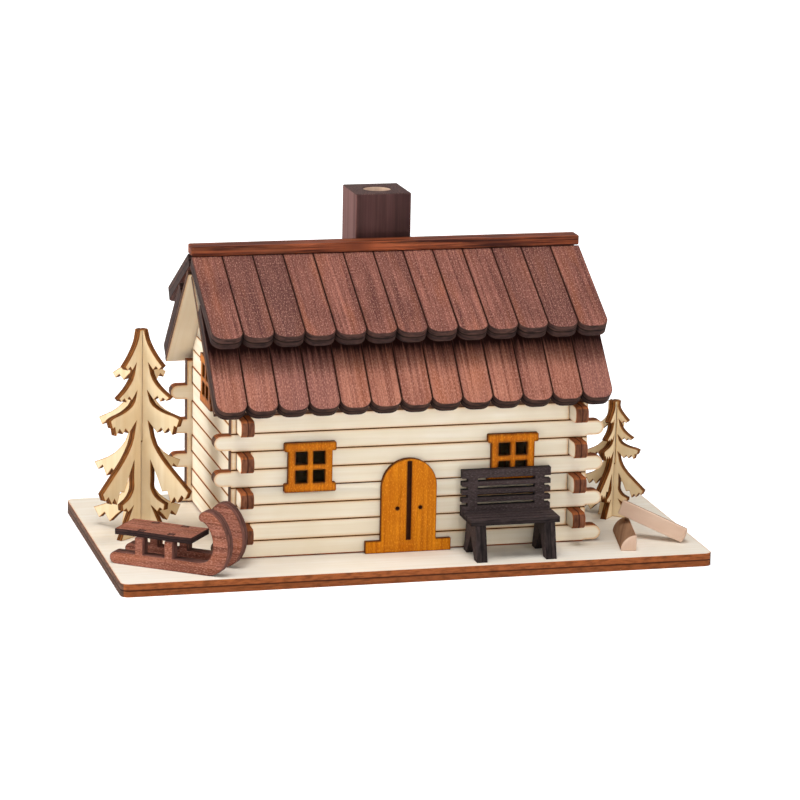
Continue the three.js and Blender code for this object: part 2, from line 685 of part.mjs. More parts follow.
// Sled: local x runs forwards along the runners, y to the far side, from the near runner's outer face

const posts = [REAR_POST, REAR_POST + POST_SPACING];
const tenonStarts = posts.map((post) => post + (POST_WIDTH - TENON_WIDTH) / 2);

function runnerOutline() {
  const end = RUNNER_HEIGHT / 2;
  const front = RUNNER_LENGTH + CURL_REACH;
  const inner = front - CURL_BAND;
  const middle = CURL_HEIGHT * CURL_BELLY;
  const shoulder = CURL_HEIGHT * CURL_SHOULDER;
  const hollow = CURL_HEIGHT * CURL_HOLLOW;
  const tip = RUNNER_LENGTH - CURL_BAND / 2;
  const tipBack = tip - CURL_TIP_ROUNDING;
  const tipUnder = CURL_HEIGHT - RUNNER_HEIGHT * CURL_TIP_SHARE;
  const underBend = tipUnder - CURL_TIP_ROUNDING;
  const shape = new THREE.Shape();
  shape.moveTo(0, 0);
  shape.lineTo(RUNNER_LENGTH, 0);
  shape.bezierCurveTo(front - CURL_REACH / 3, 0, front, middle / 2, front, middle);
  shape.bezierCurveTo(front, shoulder, front - CURL_REACH / 2, CURL_HEIGHT, RUNNER_LENGTH, CURL_HEIGHT);
  shape.bezierCurveTo(tipBack, CURL_HEIGHT, tipBack, tipUnder, tip + CURL_TIP_ROUNDING, tipUnder);
  shape.bezierCurveTo(inner - CURL_TIP_ROUNDING, underBend, inner, hollow, inner, middle);
  shape.quadraticCurveTo(inner, RUNNER_HEIGHT, inner - CURL_BAND, RUNNER_HEIGHT);
  for (const post of posts.toReversed()) {
    shape.lineTo(post + POST_WIDTH, RUNNER_HEIGHT);
    shape.lineTo(post + POST_WIDTH, SEAT_UNDERSIDE);
    shape.lineTo(post, SEAT_UNDERSIDE);
    shape.lineTo(post, RUNNER_HEIGHT);
  }
  shape.lineTo(0, RUNNER_HEIGHT);
  shape.absarc(0, end, end, QUARTER, 3 * QUARTER);
  return shape;
}

// A runner's posts carry the seat on their shoulders, with a tenon of each flush with the seat's top
function runner(name, inset) {
  const low = SEAT_UNDERSIDE - OVERCUT;
  const high = SEAT_UNDERSIDE + SEAT_SHEET;
  const tenons = tenonStarts.map((start) =>
    box(start, start + TENON_WIDTH, low, high, inset, inset + TENON_THICKNESS),
  );
  return piece(name, join(plate(runnerOutline(), SLED_SHEET, CURVE_STEPS), tenons), SLED_STAIN);
}

function sledSeat() {
  const near = (SLED_WIDTH - SEAT_WIDTH) / 2;
  const far = near + SEAT_WIDTH;
  const back = SEAT_BACK;
  const front = SEAT_BACK + SEAT_LENGTH;
  const third = SEAT_LENGTH / 3;
  const shape = new THREE.Shape();
  shape.moveTo(back, near);
  shape.bezierCurveTo(back + third, near + SEAT_WAVE, front - third, near - SEAT_WAVE, front, near);
  shape.lineTo(front, far);
  shape.bezierCurveTo(front - third, far - SEAT_WAVE, back + third, far + SEAT_WAVE, back, far);
  const insets = [TENON_INSET, SLED_WIDTH - TENON_INSET - TENON_THICKNESS];
  const mortises = insets.flatMap((inset) =>
    tenonStarts.map((start) => {
      const far = inset + TENON_THICKNESS + FIT;
      return through(start - FIT, start + TENON_WIDTH + FIT, inset - FIT, far, SEAT_SHEET);
    }),
  );
  const mesh = piece("sled_seat", cut(plate(shape, SEAT_SHEET), mortises), SLED_STAIN);
  mesh.position.z = SEAT_UNDERSIDE;
  return mesh;
}

function sled(parent, x, y, turn) {
  const group = new THREE.Group();
  group.position.set(x, y, 0);
  group.rotation.z = turn;
  const near = uprightFrame(group, 0, 0);
  const nearRunner = runner("sled_runner_near", SLED_SHEET - TENON_INSET - TENON_THICKNESS);
  nearRunner.position.z = -SLED_SHEET;
  const farRunner = runner("sled_runner_far", TENON_INSET);
  farRunner.position.z = -SLED_WIDTH;
  near.add(nearRunner, farRunner);
  group.add(sledSeat());
  parent.add(group);
}

// Bench: local x along it, y backwards from its rear face, so that all of it lies at negative y

function benchBack() {
  const half = BENCH_LENGTH / 2;
  const bottom = BENCH_SEAT_TOP - BENCH_SEAT_SHEET;
  const slitHalf = BENCH_SLIT_LENGTH / 2;
  const blank = plate(rectangle(-half, half, bottom, BENCH_BACK_TOP), BENCH_BACK_SHEET);
  const gaps = [...Array(BENCH_SLITS).keys()].flatMap((slit) => {
    const high = BENCH_BACK_TOP - BENCH_RAIL - slit * BENCH_SLAT_PITCH;
    const low = high - BENCH_SLIT_HEIGHT;
    const spans = [
      [-half - OVERCUT, -half + BENCH_NOTCH_DEPTH],
      [-slitHalf, slitHalf],
      [half - BENCH_NOTCH_DEPTH, half + OVERCUT],
    ];
    return spans.map(([x0, x1]) => box(x0, x1, low, high, -OVERCUT, BENCH_BACK_SHEET + OVERCUT));
  });
  const mesh = piece("bench_back", cut(blank, gaps), CHARCOAL_STAIN);
  mesh.position.z = -BENCH_BACK_SHEET;
  return mesh;
}

function benchSeat() {
  const half = BENCH_LENGTH / 2;
  const pitch = BENCH_SEAT_DEPTH / BENCH_SEAT_SLATS;
  const rear = -BENCH_BACK_SHEET;
  const blank = plate(rectangle(-half, half, rear - BENCH_SEAT_DEPTH, rear), BENCH_SEAT_SHEET);
  const grooves = [...Array(BENCH_SEAT_SLATS - 1).keys()].flatMap((groove) => {
    const y0 = rear - (groove + 1) * pitch - BENCH_SEAT_GROOVE / 2;
    const y1 = y0 + BENCH_SEAT_GROOVE;
    const top = BENCH_SEAT_SHEET + OVERCUT;
    return [
      box(-half - OVERCUT, -half + BENCH_NOTCH_DEPTH, y0, y1, -OVERCUT, top),
      box(half - BENCH_NOTCH_DEPTH, half + OVERCUT, y0, y1, -OVERCUT, top),
      box(-half - OVERCUT, half + OVERCUT, y0, y1, BENCH_SEAT_SHEET - BENCH_SEAT_GROOVE, top),
    ];
  });
  const mesh = piece("bench_seat", cut(blank, grooves), CHARCOAL_STAIN);
  mesh.position.z = BENCH_SEAT_TOP - BENCH_SEAT_SHEET;
  return mesh;
}

function benchLeg(name) {
  const spread = BENCH_FOOT_SPREAD / 2;
  const crotch = BENCH_LEG_CROTCH / 2;
  const top = BENCH_SEAT_TOP - BENCH_SEAT_SHEET;
  const shape = polygon([
    [-spread, 0],
    [-spread + BENCH_FOOT, 0],
    [-crotch, BENCH_LEG_NOTCH],
    [crotch, BENCH_LEG_NOTCH],
    [spread - BENCH_FOOT, 0],
    [spread, 0],
    [BENCH_LEG_TOP / 2, top],
    [-BENCH_LEG_TOP / 2, top],
  ]);
  const mesh = piece(name, plate(shape, BENCH_LEG_SHEET), CHARCOAL_STAIN);
  mesh.position.set(-spread, 0, -BENCH_LEG_SHEET / 2);
  return mesh;
}

function bench(parent, x, y) {
  const group = new THREE.Group();
  group.position.set(x, y, 0);
  uprightFrame(group, 0, BENCH_BACK_SHEET).add(benchBack());
  group.add(benchSeat());
  uprightFrame(group, QUARTER, -BENCH_LEG_SPACING / 2).add(benchLeg("bench_leg_left"));
  uprightFrame(group, QUARTER, BENCH_LEG_SPACING / 2).add(benchLeg("bench_leg_right"));
  parent.add(group);
}

// Firewood: quarter-round billets, the upper one leaning over the lower one's crest

function billet(parent, name, length, position, turn, pitch) {
  const shape = new THREE.Shape();
  shape.moveTo(0, 0);
  shape.lineTo(BILLET_RADIUS, 0);
  shape.absarc(0, 0, BILLET_RADIUS, 0, QUARTER);
  const turned = new THREE.Group();
  turned.position.set(...position);
  turned.rotation.z = turn;
  const tipped = new THREE.Group();
  tipped.rotation.y = pitch;
  turned.add(tipped);
  uprightFrame(tipped, QUARTER, 0).add(piece(name, plate(shape, length), SPLIT_WOOD));
  parent.add(turned);
}

function firewood(parent) {
  const lowerTurn = radians(LOWER_BILLET_TURN);
  const upperTurn = radians(UPPER_BILLET_TURN);
  const lowerX = wallTip + LOWER_BILLET_OUT;
  const lowerY = -wallOuter - LOWER_BILLET_FRONT;
  billet(parent, "firewood_lower", LOWER_BILLET_LENGTH, [lowerX, lowerY, 0], lowerTurn, 0);
  // The crest crosses the upper billet's far edge nearer to its low end than its near edge
  const skew = BILLET_RADIUS / Math.tan(lowerTurn - upperTurn - 2 * QUARTER);
  const run = UPPER_BILLET_LENGTH - UPPER_BILLET_CROSSING - Math.abs(skew);
  const pitch = Math.asin((BILLET_RADIUS + GLUE_GAP) / run);
  const crossingX = lowerX + LOWER_BILLET_CROSSING * Math.cos(lowerTurn);
  const crossingY = lowerY + LOWER_BILLET_CROSSING * Math.sin(lowerTurn);
  const back = UPPER_BILLET_CROSSING * Math.cos(pitch);
  const x = crossingX - back * Math.cos(upperTurn);
  const y = crossingY - back * Math.sin(upperTurn);
  const height = UPPER_BILLET_LENGTH * Math.sin(pitch) + GLUE_GAP;
  billet(parent, "firewood_upper", UPPER_BILLET_LENGTH, [x, y, height], upperTurn, pitch);
}

// Base, as long and as deep as the house and what stands beside it, measured from the house's middle

const leftTurn = radians(LEFT_TREE_TURN);
const leftReach = treeReach(1, leftTurn);
const leftTreeX = -roofEnd - TREE_CLEARANCE - leftReach.right;
const baseLeft = leftTreeX - leftReach.left - EDGE_MARGIN;
const baseRight = roofEnd + RIGHT_YARD;
const baseBack = wallOuter + BACK_YARD;

// The sled's far face passes the front left log end, and its back end lies at the base's left edge
const sledTurn = radians(SLED_TURN);
const sledAhead = { x: Math.cos(sledTurn), y: Math.sin(sledTurn) };
const sledOut = SLED_WIDTH + SLED_CLEARANCE;
const sledX = baseLeft + EDGE_MARGIN + RUNNER_HEIGHT / 2;
const sledSlide = (sledX + gableOuter - sledOut * sledAhead.y) / sledAhead.x;
const sledY = -gableTip - sledOut * sledAhead.x + sledSlide * sledAhead.y;
const baseFront = sledY + (RUNNER_LENGTH + CURL_REACH) * sledAhead.y - FRONT_MARGIN;

function basePlate() {
  const shape = roundedRectangle(baseLeft, baseRight, baseFront, baseBack, BASE_CORNER_RADIUS);
  const mesh = piece("base_plate", plate(shape, SHEET), PALE_PLY);
  mesh.position.z = -SHEET;
  return mesh;
}

function locatingStrip(name, front) {
  const half = gableInner - LIFT_FIT;
  return piece(name, box(-half, half, front, front + STRIP_WIDTH, 0, SHEET), PALE_PLY);
}

function burnerPlate() {
  const radius = BURNER_DIAMETER / 2;
  const profile = [
    [0, 0],
    [radius, 0],
    [radius, BURNER_THICKNESS - BURNER_CHAMFER],
    [radius - BURNER_CHAMFER, BURNER_THICKNESS],
    [0, BURNER_THICKNESS],
  ];
  const geometry = new THREE.LatheGeometry(profile.map(([r, z]) => new THREE.Vector2(r, z)), BORE_FACETS);
  return piece("burner_plate", geometry.rotateX(QUARTER), BURNER_METAL);
}

function buildYard() {
  const yard = new THREE.Group();
  yard.add(basePlate(), burnerPlate());
  yard.add(locatingStrip("locating_strip_front", -wallInner + LIFT_FIT));
  yard.add(locatingStrip("locating_strip_back", wallInner - LIFT_FIT - STRIP_WIDTH));
  tree(yard, "left_tree", 1, leftTreeX, LEFT_TREE_BACK, leftTurn);
  const rightTurn = radians(RIGHT_TREE_TURN);
  tree(yard, "right_tree", RIGHT_TREE_SHARE, roofEnd + RIGHT_TREE_OUT, RIGHT_TREE_BACK, rightTurn);
  sled(yard, sledX, sledY, sledTurn);
  bench(yard, BENCH_OFFSET, -wallOuter - TRIM_SHEET - BENCH_CLEARANCE);
  firewood(yard);
  return yard;
}

const smokerHouse = new THREE.Group();
const standing = new THREE.Group();
standing.position.set(-(baseLeft + baseRight) / 2, -(baseFront + baseBack) / 2, SHEET);
standing.add(buildYard(), buildHouse());
smokerHouse.add(standing);

export default smokerHouse;
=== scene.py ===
"""Incense smoker house, finished around its packed plywood parts: bare and stained wood, burnt cut edges,
engraved seams, a plain white floor, soft studio light and a camera at the photograph's angle."""

import math
from typing import Callable, NamedTuple

import bmesh
import bpy
from bpy.props import FloatProperty, FloatVectorProperty, PointerProperty
from mathutils import Matrix, Vector


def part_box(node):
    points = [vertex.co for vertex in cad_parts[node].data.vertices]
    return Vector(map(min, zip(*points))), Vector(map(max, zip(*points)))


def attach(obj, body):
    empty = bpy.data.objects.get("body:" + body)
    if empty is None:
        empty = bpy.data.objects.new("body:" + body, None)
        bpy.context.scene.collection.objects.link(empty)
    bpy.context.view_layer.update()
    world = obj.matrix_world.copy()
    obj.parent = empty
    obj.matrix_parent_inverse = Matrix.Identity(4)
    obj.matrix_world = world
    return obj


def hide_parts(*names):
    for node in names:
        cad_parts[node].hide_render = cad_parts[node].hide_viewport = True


bl_info = {
    "name": "Incense smoker house",
    "version": (1, 0, 0),
    "blender": (4, 5, 0),
    "location": "3D View > Sidebar > Smoker",
    "description": "Finishes the plywood parts of an incense smoker house",
    "category": "Object",
}

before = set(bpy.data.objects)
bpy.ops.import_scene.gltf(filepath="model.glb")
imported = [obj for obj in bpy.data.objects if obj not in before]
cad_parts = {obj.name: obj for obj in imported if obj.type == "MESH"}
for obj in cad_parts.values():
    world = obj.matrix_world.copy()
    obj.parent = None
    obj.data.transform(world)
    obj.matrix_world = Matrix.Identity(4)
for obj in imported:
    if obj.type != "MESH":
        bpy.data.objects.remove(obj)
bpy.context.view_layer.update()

MM = 0.001
LEFT, RIGHT, FRONT, BACK, UP = (-1, 0, 0), (1, 0, 0), (0, -1, 0), (0, 1, 0), (0, 0, 1)
WELD = 2e-6  # vertices of a copied part closer than this are one
FLAT = math.radians(1)  # faces that turn less than this are one face
ALIKE = 2  # decimals to which normals agree where faces look the same way
SHARP = math.radians(35)  # edges that turn more than this are corners
FACING = 0.98  # a face whose normal agrees this well with the sheet's is its front or back
ENDWISE = 0.7  # a cut whose normal leans this far along the grain shows end grain
SKIN = 0.05 * MM  # how far a sheet's own face may lie off its plane
BILLET_FACET = (10 * MM * MM, 60 * MM * MM)  # areas between a worn corner's and a split face's

# Sizes and proportions of the wood
LOG_PITCH = 5.5 * MM
SHINGLES = 13
SHINGLE_WIDTH = (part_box("upper_shingles_front")[1].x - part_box("upper_shingles_front")[0].x) / SHINGLES
PLAIN_BOARD = 10 * MM  # width of the boards that a piece without seams takes its pattern by
SEAM_DEPTH = 0.5 * MM  # engravings no deeper than this are seams
DOOR_ENGRAVING = 1.2 * MM
WALL_WEAR = 2  # worn corners of the walls over those of other sheets
BORE_WITHIN = 1 / 3  # the bore's faces lie this near the chimney's middle, over its side
EAVE_SHADE_REACH = 9 * MM  # how far below the upper sheets' lower edge the painted eave shade reaches
EAVE_SHADE_FULL = 0.25  # share of that reach over which it is full
GRAIN_RELIEF = 0.04 * MM
CHAR_RELIEF = 0.05 * MM
SLED_HEADING = math.radians(-36.8)


class Band(NamedTuple):
    """The values of a pattern at which a coat starts and is full, and its share there, which may vary too"""

    start: float
    full: float
    share: float = 1.0


# Pattern proportions, and sizes in millimetres
MIDDLE = 0.5  # middle of a noise's values and of a sheet's depth
WHOLE = Band(0, 1)  # a pattern taken as it is
STREAK_STRETCH = 40  # length of a grain streak over its width
STREAK_DETAIL = 5  # finer layers in the grain
STREAK_FINENESS = 0.62  # and how strong each is over the one before
STREAK_SPREAD = 0.22  # how far the grain's noise strays from its middle
PORE_STRETCH = 2.5  # length of a pore over its width
PORE_DETAIL = 2
PALE_PORES = Band(0.54, 0.68, 0.6)  # fewer than the dark ones, and stronger
DARK_PORES = Band(0.48, 0.32, 0.45)
END_GRAIN = 0.25  # width of the pattern in end grain over a pore's
CLOUD = 14  # width of the clouds of tone
CLOUD_DETAIL = 2
CLOUDS = Band(0.42, 0.66, 0.55)
PATCH_WIDTH = 5  # width of the warm patches in a stain
PATCH_LENGTH = 30  # and their length along the grain
PATCH_DETAIL = 3
PATCHES = Band(0.5, 0.68)
BOARD_TINTS = Band(0, 1, 0.7)  # by chance, up to this share on the darkest board
RAGGED = 0.35  # how uneven the lower limit of the painted eave shade is, over the height it fades across
NEAR_CUT = Band(0.95, 0.6)  # open share of the rays sent into the wood, away from a cut and beside it
SINGE_RAYS = 8
SINGE_UNEVEN = 0.6  # how singed pale streaks are over dark ones
ROUGHER = 0.06  # how much rougher dark streaks are than the wood
SMOOTHER = 0.04  # and how much smoother pale ones
RELIEF = 0.5  # strength of the grain's and the char's relief
CHAR_STREAK = 3  # length of the streaks of char on a cut edge
CHAR_LAYERS = 5  # layers of those streaks through a sheet's thickness
CHAR_DETAIL = 4
CHAR = Band(0.4, 0.68, 0.85)
BACK_PLY = Band(0.45, 0.55, 0.4)  # depth over a sheet's thickness
GLUE_LINE = Band(0.08, 0.03, 0.85)  # distance from a sheet's middle over its thickness
BRUSH_MARK = 0.15  # width of the burner's brush marks, drawn coarser than real ones so that they show
BRUSH_LENGTH = 20
BRUSH_DETAIL = 3
BRUSH_DIM = 0.8  # brightness of the marks over the steel's
PIECE_SHIFT = 173  # how far apart two pieces take their patterns, along the grain
PIECE_BOARDS = 31  # and across it, in boards

# Gloss, roughness, and the strongest share of warm patches and of scorching
WOOD_GLOSS = 0.06
EDGE_GLOSS = 0.08
EDGE_ROUGHNESS = 0.75
STEEL_ROUGHNESS = (0.28, 0.5)  # on the marks and between them
STAIN_BLUSH = 0.4
RIDGE_BLUSH = 0.3
BASE_SINGE = 0.5
BARE_SINGE = 0.8
STAIN_SINGE = 0.7
ORANGE_SINGE = 0.95

# White paper, lifted to white for the eye: distances from the house in metres, and the lift at each
PAPER = "#F2F2F2"
NEAR, NEAR_LIFT = 0.1, 0.5
FAR, FAR_LIFT = 0.6, 0.9
CLIP_END = 20  # how far the camera sees, in metres


class Lamp(NamedTuple):
    """A square lamp: its place, the point it shines at and its side in metres, and how wide its light fans"""

    place: tuple
    aim: tuple
    side: float
    fan: float = math.pi


HOUSE = (0, 0, 0.04)
LAMPS = {
    "top": Lamp((-0.08, -0.24, 1.25), HOUSE, 0.6),
    "left": Lamp((-1.2, 0.05, 0.35), HOUSE, 1.0),
    "front": Lamp((0.15, -1.3, 0.45), HOUSE, 0.8),
    "right": Lamp((1.2, -0.55, 0.4), HOUSE, 0.6),
    # Lights only the table in front of the base, which sends its light up at the walls
    "table": Lamp((0, -0.5, 0.6), (0, -0.5, 0), 0.3, math.radians(40)),
}


def linear(hex_colour):
    """A colour given as sRGB hex, in the linear values that the shaders use, by the sRGB standard's curve"""
    channels = [int(hex_colour[start : start + 2], 16) / 255 for start in (1, 3, 5)]
    return tuple(c / 12.92 if c <= 0.04045 else ((c + 0.055) / 1.055) ** 2.4 for c in channels)


def colour(name, description, hex_colour):
    """A colour that the user can change"""
    return FloatVectorProperty(
        name=name, description=description, subtype="COLOR", size=3, min=0, max=1, default=linear(hex_colour)
    )


def length(name, description, millimetres):
    """A length that the user can change"""
    return FloatProperty(
        name=name, description=description, unit="LENGTH", min=0, precision=5, default=millimetres * MM
    )


def power(name, description, watts):
    """A lamp's power that the user can change"""
    return FloatProperty(name=name, description=description, unit="POWER", min=0, default=watts)


def angle(name, description, degrees):
    """An angle that the user can change"""
    return FloatProperty(
        name=name, description=description, subtype="ANGLE", default=math.radians(degrees), precision=3
    )


class SmokerColours(bpy.types.PropertyGroup):
    """Colours of the woods, stains and burnt edges"""

    ply_pale: colour("Bare plywood", "Light veneer of the base and the strips", "#F2ECE2")
    ply_dark: colour("Bare plywood grain", "Darker streaks of the base and the strips", "#E8DDCB")
    log_pale: colour("Log walls", "Light veneer of the log walls and the roof panels", "#F4EAD8")
    log_dark: colour("Log wall grain", "Darker streaks of the log walls and the roof panels", "#E8D9BE")
    scorch: colour("Scorch", "Bare veneer singed beside a cut", "#D69A50")
    seam: colour("Seam", "Burnt floor of an engraved seam", "#4E2C14")
    # The gables' paler seam colour is painted light
    gable_seam: colour("Gable seam", "Burnt floor of the gables' paler seams", "#AE7838")
    tree_pale: colour("Tree plywood", "Light veneer of the trees", "#F2E0BF")
    tree_dark: colour("Tree plywood grain", "Darker streaks of the trees", "#E4CA9E")
    edge: colour("Burnt edge", "Plies of a cut along the grain", "#A85F36")
    edge_line: colour("Burnt edge line", "Glue line of a cut along the grain", "#2A140C")
    edge_soot: colour("Burnt edge soot", "Char on a cut along the grain", "#6C3C20")
    end: colour("Burnt end grain", "Plies of a cut across the grain", "#6A4C3C")
    end_line: colour("Burnt end grain line", "Glue line of a cut across the grain", "#22140E")
    end_soot: colour("Burnt end grain soot", "Char on a cut across the grain", "#3A2A23")
    finger: colour("Log end", "Burnt plies of the gables' log ends", "#7E4E38")
    finger_soot: colour("Log end soot", "Char on the gables' log ends", "#46291C")
    tree_edge: colour("Tree edge", "Burnt plies of the trees' cuts", "#8C5528")
    tree_soot: colour("Tree edge soot", "Char on the trees' cuts", "#42220F")
    upper_pale: colour("Upper shingles", "Light tone of the upper shingles' stain", "#AA6D5D")
    upper_dark: colour("Upper shingle grain", "Dark streaks of the upper shingles", "#5A332E")
    upper_tint: colour("Dark upper shingles", "Tone of the darkest upper shingles", "#523633")
    # The lower shingles are paler than the upper ones: painted light from the front
    lower_pale: colour("Lower shingles", "Light tone of the lower shingles' stain", "#BE7E66")
    lower_dark: colour("Lower shingle grain", "Dark streaks of the lower shingles", "#764437")
    lower_tint: colour("Dark lower shingles", "Tone of the darkest lower shingles", "#80544E")
    blush: colour("Warm patches", "Patches where the red-brown stain is warmest", "#A8623F")
    # Painted shade: darkens the lower shingles under the upper shingles' eaves
    gathered: colour("Painted eave shade", "Stain that gathered under the upper shingles", "#200D0A")
    pore_pale: colour("Pale pores", "Pores where the stain took less", "#C4907B")
    pore_dark: colour("Dark pores", "Pores where the stain gathered", "#47261F")
    shingle_edge: colour("Shingle edge", "Stained plies of a shingle's cut edge", "#4A342D")
    shingle_line: colour("Shingle edge line", "Glue line of a shingle's cut edge", "#100B0B")
    shingle_soot: colour("Shingle edge soot", "Char on a shingle's cut edge", "#1E1718")
    ridge_pale: colour("Ridge", "Light streaks of the ridge strip", "#8E482B")
    ridge_dark: colour("Ridge grain", "Dark streaks of the ridge strip", "#341812")
    chimney_pale: colour("Chimney front", "Light streaks of the chimney's front", "#563936")
    chimney_dark: colour("Chimney front grain", "Dark streaks of the chimney's front", "#2C1C1B")
    # The sides' paler tones are partly painted light from the left lamp
    chimney_side: colour("Chimney side", "Light streaks of the chimney's sides", "#7E5852")
    chimney_side_dark: colour("Chimney side grain", "Dark streaks of the chimney's sides", "#553734")
    chimney_end: colour("Chimney end", "End grain of the chimney's top", "#5E4C48")
    bore: colour("Smoke bore", "Bare wood inside the chimney's bore", "#EFD6C0")
    bore_dark: colour("Smoke bore grain", "Darker streaks inside the chimney's bore", "#D9B69C")
    door_pale: colour("Door", "Light streaks of the door's orange stain", "#DC8612")
    door_dark: colour("Door grain", "Dark streaks of the door's orange stain", "#B05C06")
    window_pale: colour("Windows", "Light streaks of the windows' orange stain", "#D67E12")
    window_dark: colour("Window grain", "Dark streaks of the windows' orange stain", "#A65408")
    orange_fleck: colour("Door and window flecks", "Short pale flecks in the orange stain", "#E8992A")
    orange_scorch: colour("Door and window scorch", "Orange face singed beside a cut", "#5A2A08")
    orange_edge: colour("Door and window edge", "Plies of the orange pieces' cut edges", "#7A430F")
    orange_soot: colour("Door and window soot", "Char on the orange pieces' cut edges", "#42200A")
    sled_pale: colour("Sled", "Light tone of the sled's stain", "#B0725E")
    sled_dark: colour("Sled grain", "Dark tone of the sled's stain", "#6C3E31")
    sled_edge: colour("Sled edge", "Plies of the sled's cut edges", "#7A5046")
    sled_soot: colour("Sled soot", "Char on the sled's cut edges", "#3E2A26")
    bench_pale: colour("Bench", "Light streaks of the charcoal stain", "#483B3A")
    bench_dark: colour("Bench grain", "Dark streaks of the charcoal stain", "#2A2222")
    bench_fleck: colour("Bench flecks", "Pores where the charcoal stain took less", "#625655")
    bench_edge: colour("Bench edge", "Plies of the bench's cut edges", "#3A302F")
    split_pale: colour("Firewood", "Light streaks of the split billets", "#E6CCB8")
    split_dark: colour("Firewood grain", "Dark streaks of the split billets", "#CFAC94")
    bark_pale: colour("Firewood round side", "Light streaks of the billets' round side", "#AE8666")
    bark_dark: colour("Firewood round side grain", "Dark streaks of the billets' round side", "#7E5C46")
    steel: colour("Burner", "Brushed steel of the burner plate", "#B9BBBD")


class SmokerSizes(bpy.types.PropertyGroup):
    """Sizes of what the finish adds to the parts"""

    chamfer: length("Edge wear", "Width of the worn corner along a sheet's edges", 0.1)
    block_chamfer: length("Block wear", "Width of the chimney's, ridge's and firewood's worn corners", 0.25)
    foot_chamfer: length("Wall foot", "Width of the burnt corner along the walls' feet", 0.5)
    ply_streak: length("Plywood grain", "Width of the bare plywood's grain streaks", 1.1)
    stain_streak: length("Stain grain", "Width of the grain streaks in the stained wood", 0.5)
    block_streak: length("Block grain", "Width of the grain streaks in the chimney", 1.3)
    # Pores are drawn a little coarser than real ones, so that they show
    pore: length("Pores", "Width of the pores in the stained wood", 0.3)
    singe: length("Scorch reach", "How far bare veneer is singed beside a cut", 0.9)
    trim_singe: length("Trim scorch reach", "How far the door and the trees are singed beside a cut", 0.5)
    window_singe: length("Window scorch reach", "How far the windows are singed beside a cut", 0.9)
    stain_singe: length("Stain scorch reach", "How far stained sheets are singed beside a cut", 0.4)


class SmokerStage(bpy.types.PropertyGroup):
    """Floor, lamps and camera"""

    floor_radius: FloatProperty(
        name="Floor", description="Half the floor's side", unit="LENGTH", default=4, min=1
    )
    top_power: power("Top lamp", "Lamp over the roof", 10)
    left_power: power("Left lamp", "Lamp at the left gable", 17)
    front_power: power("Front lamp", "Lamp in front", 6.2)
    right_power: power("Right lamp", "Weak lamp at the right, for the side away from the left lamp", 4)
    table_power: power("Table lamp", "Lamp over the table in front", 5)
    sky: FloatProperty(name="Sky", description="Strength of the even white light", default=0.06, min=0)
    lens: FloatProperty(
        name="Lens", description="Camera's focal length", subtype="DISTANCE_CAMERA", default=162.846, min=1
    )
    azimuth: angle("Azimuth", "Camera's turn from the front", -14.812)
    elevation: angle("Elevation", "Camera's height angle", 13.5)
    roll: angle("Roll", "Camera's roll", 1.156)
    distance: length("Distance", "From the camera to the point it looks at", 1120.934)
    aim_right: length("Aim right", "Point looked at, right of the origin in the picture", 5.3)
    aim_up: length("Aim up", "Point looked at, above the origin in the picture", 42.754)


# Materials

FACTOR, FIRST, SECOND, MIXED = 0, 6, 7, 2  # sockets of a colour Mix node


def add(tree, kind, inputs=(), **settings):
    """Adds a node with its settings, and sets or links its inputs"""
    made = tree.nodes.new(kind)
    for name, value in settings.items():
        setattr(made, name, value)
    for name, value in dict(inputs).items():
        if isinstance(value, bpy.types.NodeSocket):
            tree.links.new(value, made.inputs[name])
        else:
            made.inputs[name].default_value = value
    return made


def opaque(rgb):
    """A colour with its alpha"""
    return (*rgb, 1)


def new_material(name):
    """A material with its node tree, its shader and the place on the sheet"""
    material = bpy.data.materials.new(name)
    material.use_nodes = True
    tree = material.node_tree
    sheet = add(tree, "ShaderNodeAttribute", attribute_name="sheet").outputs["Vector"]
    return material, tree, tree.nodes["Principled BSDF"], sheet


def speckle(tree, sheet, scale, detail, fineness=0.5):
    """Noise over a sheet, scaled along its grain, across it and through its depth"""
    scaled = add(tree, "ShaderNodeMapping", {"Vector": sheet, "Scale": scale}).outputs[0]
    return add(
        tree, "ShaderNodeTexNoise", {"Vector": scaled, "Scale": 1, "Detail": detail, "Roughness": fineness}
    ).outputs["Fac"]


def coated(tree, ground, coats):
    """A ground colour under coats, each given as its pattern, the band of values it follows and its colour"""
    tone = opaque(ground)
    for pattern, band, over in coats:
        share = add(
            tree,
            "ShaderNodeMapRange",
            {"Value": pattern, "From Min": band.start, "From Max": band.full, "To Max": band.share},
        ).outputs[0]
        tone = add(
            tree, "ShaderNodeMix", {FACTOR: share, FIRST: tone, SECOND: opaque(over)}, data_type="RGBA"
        ).outputs[MIXED]
    return tone


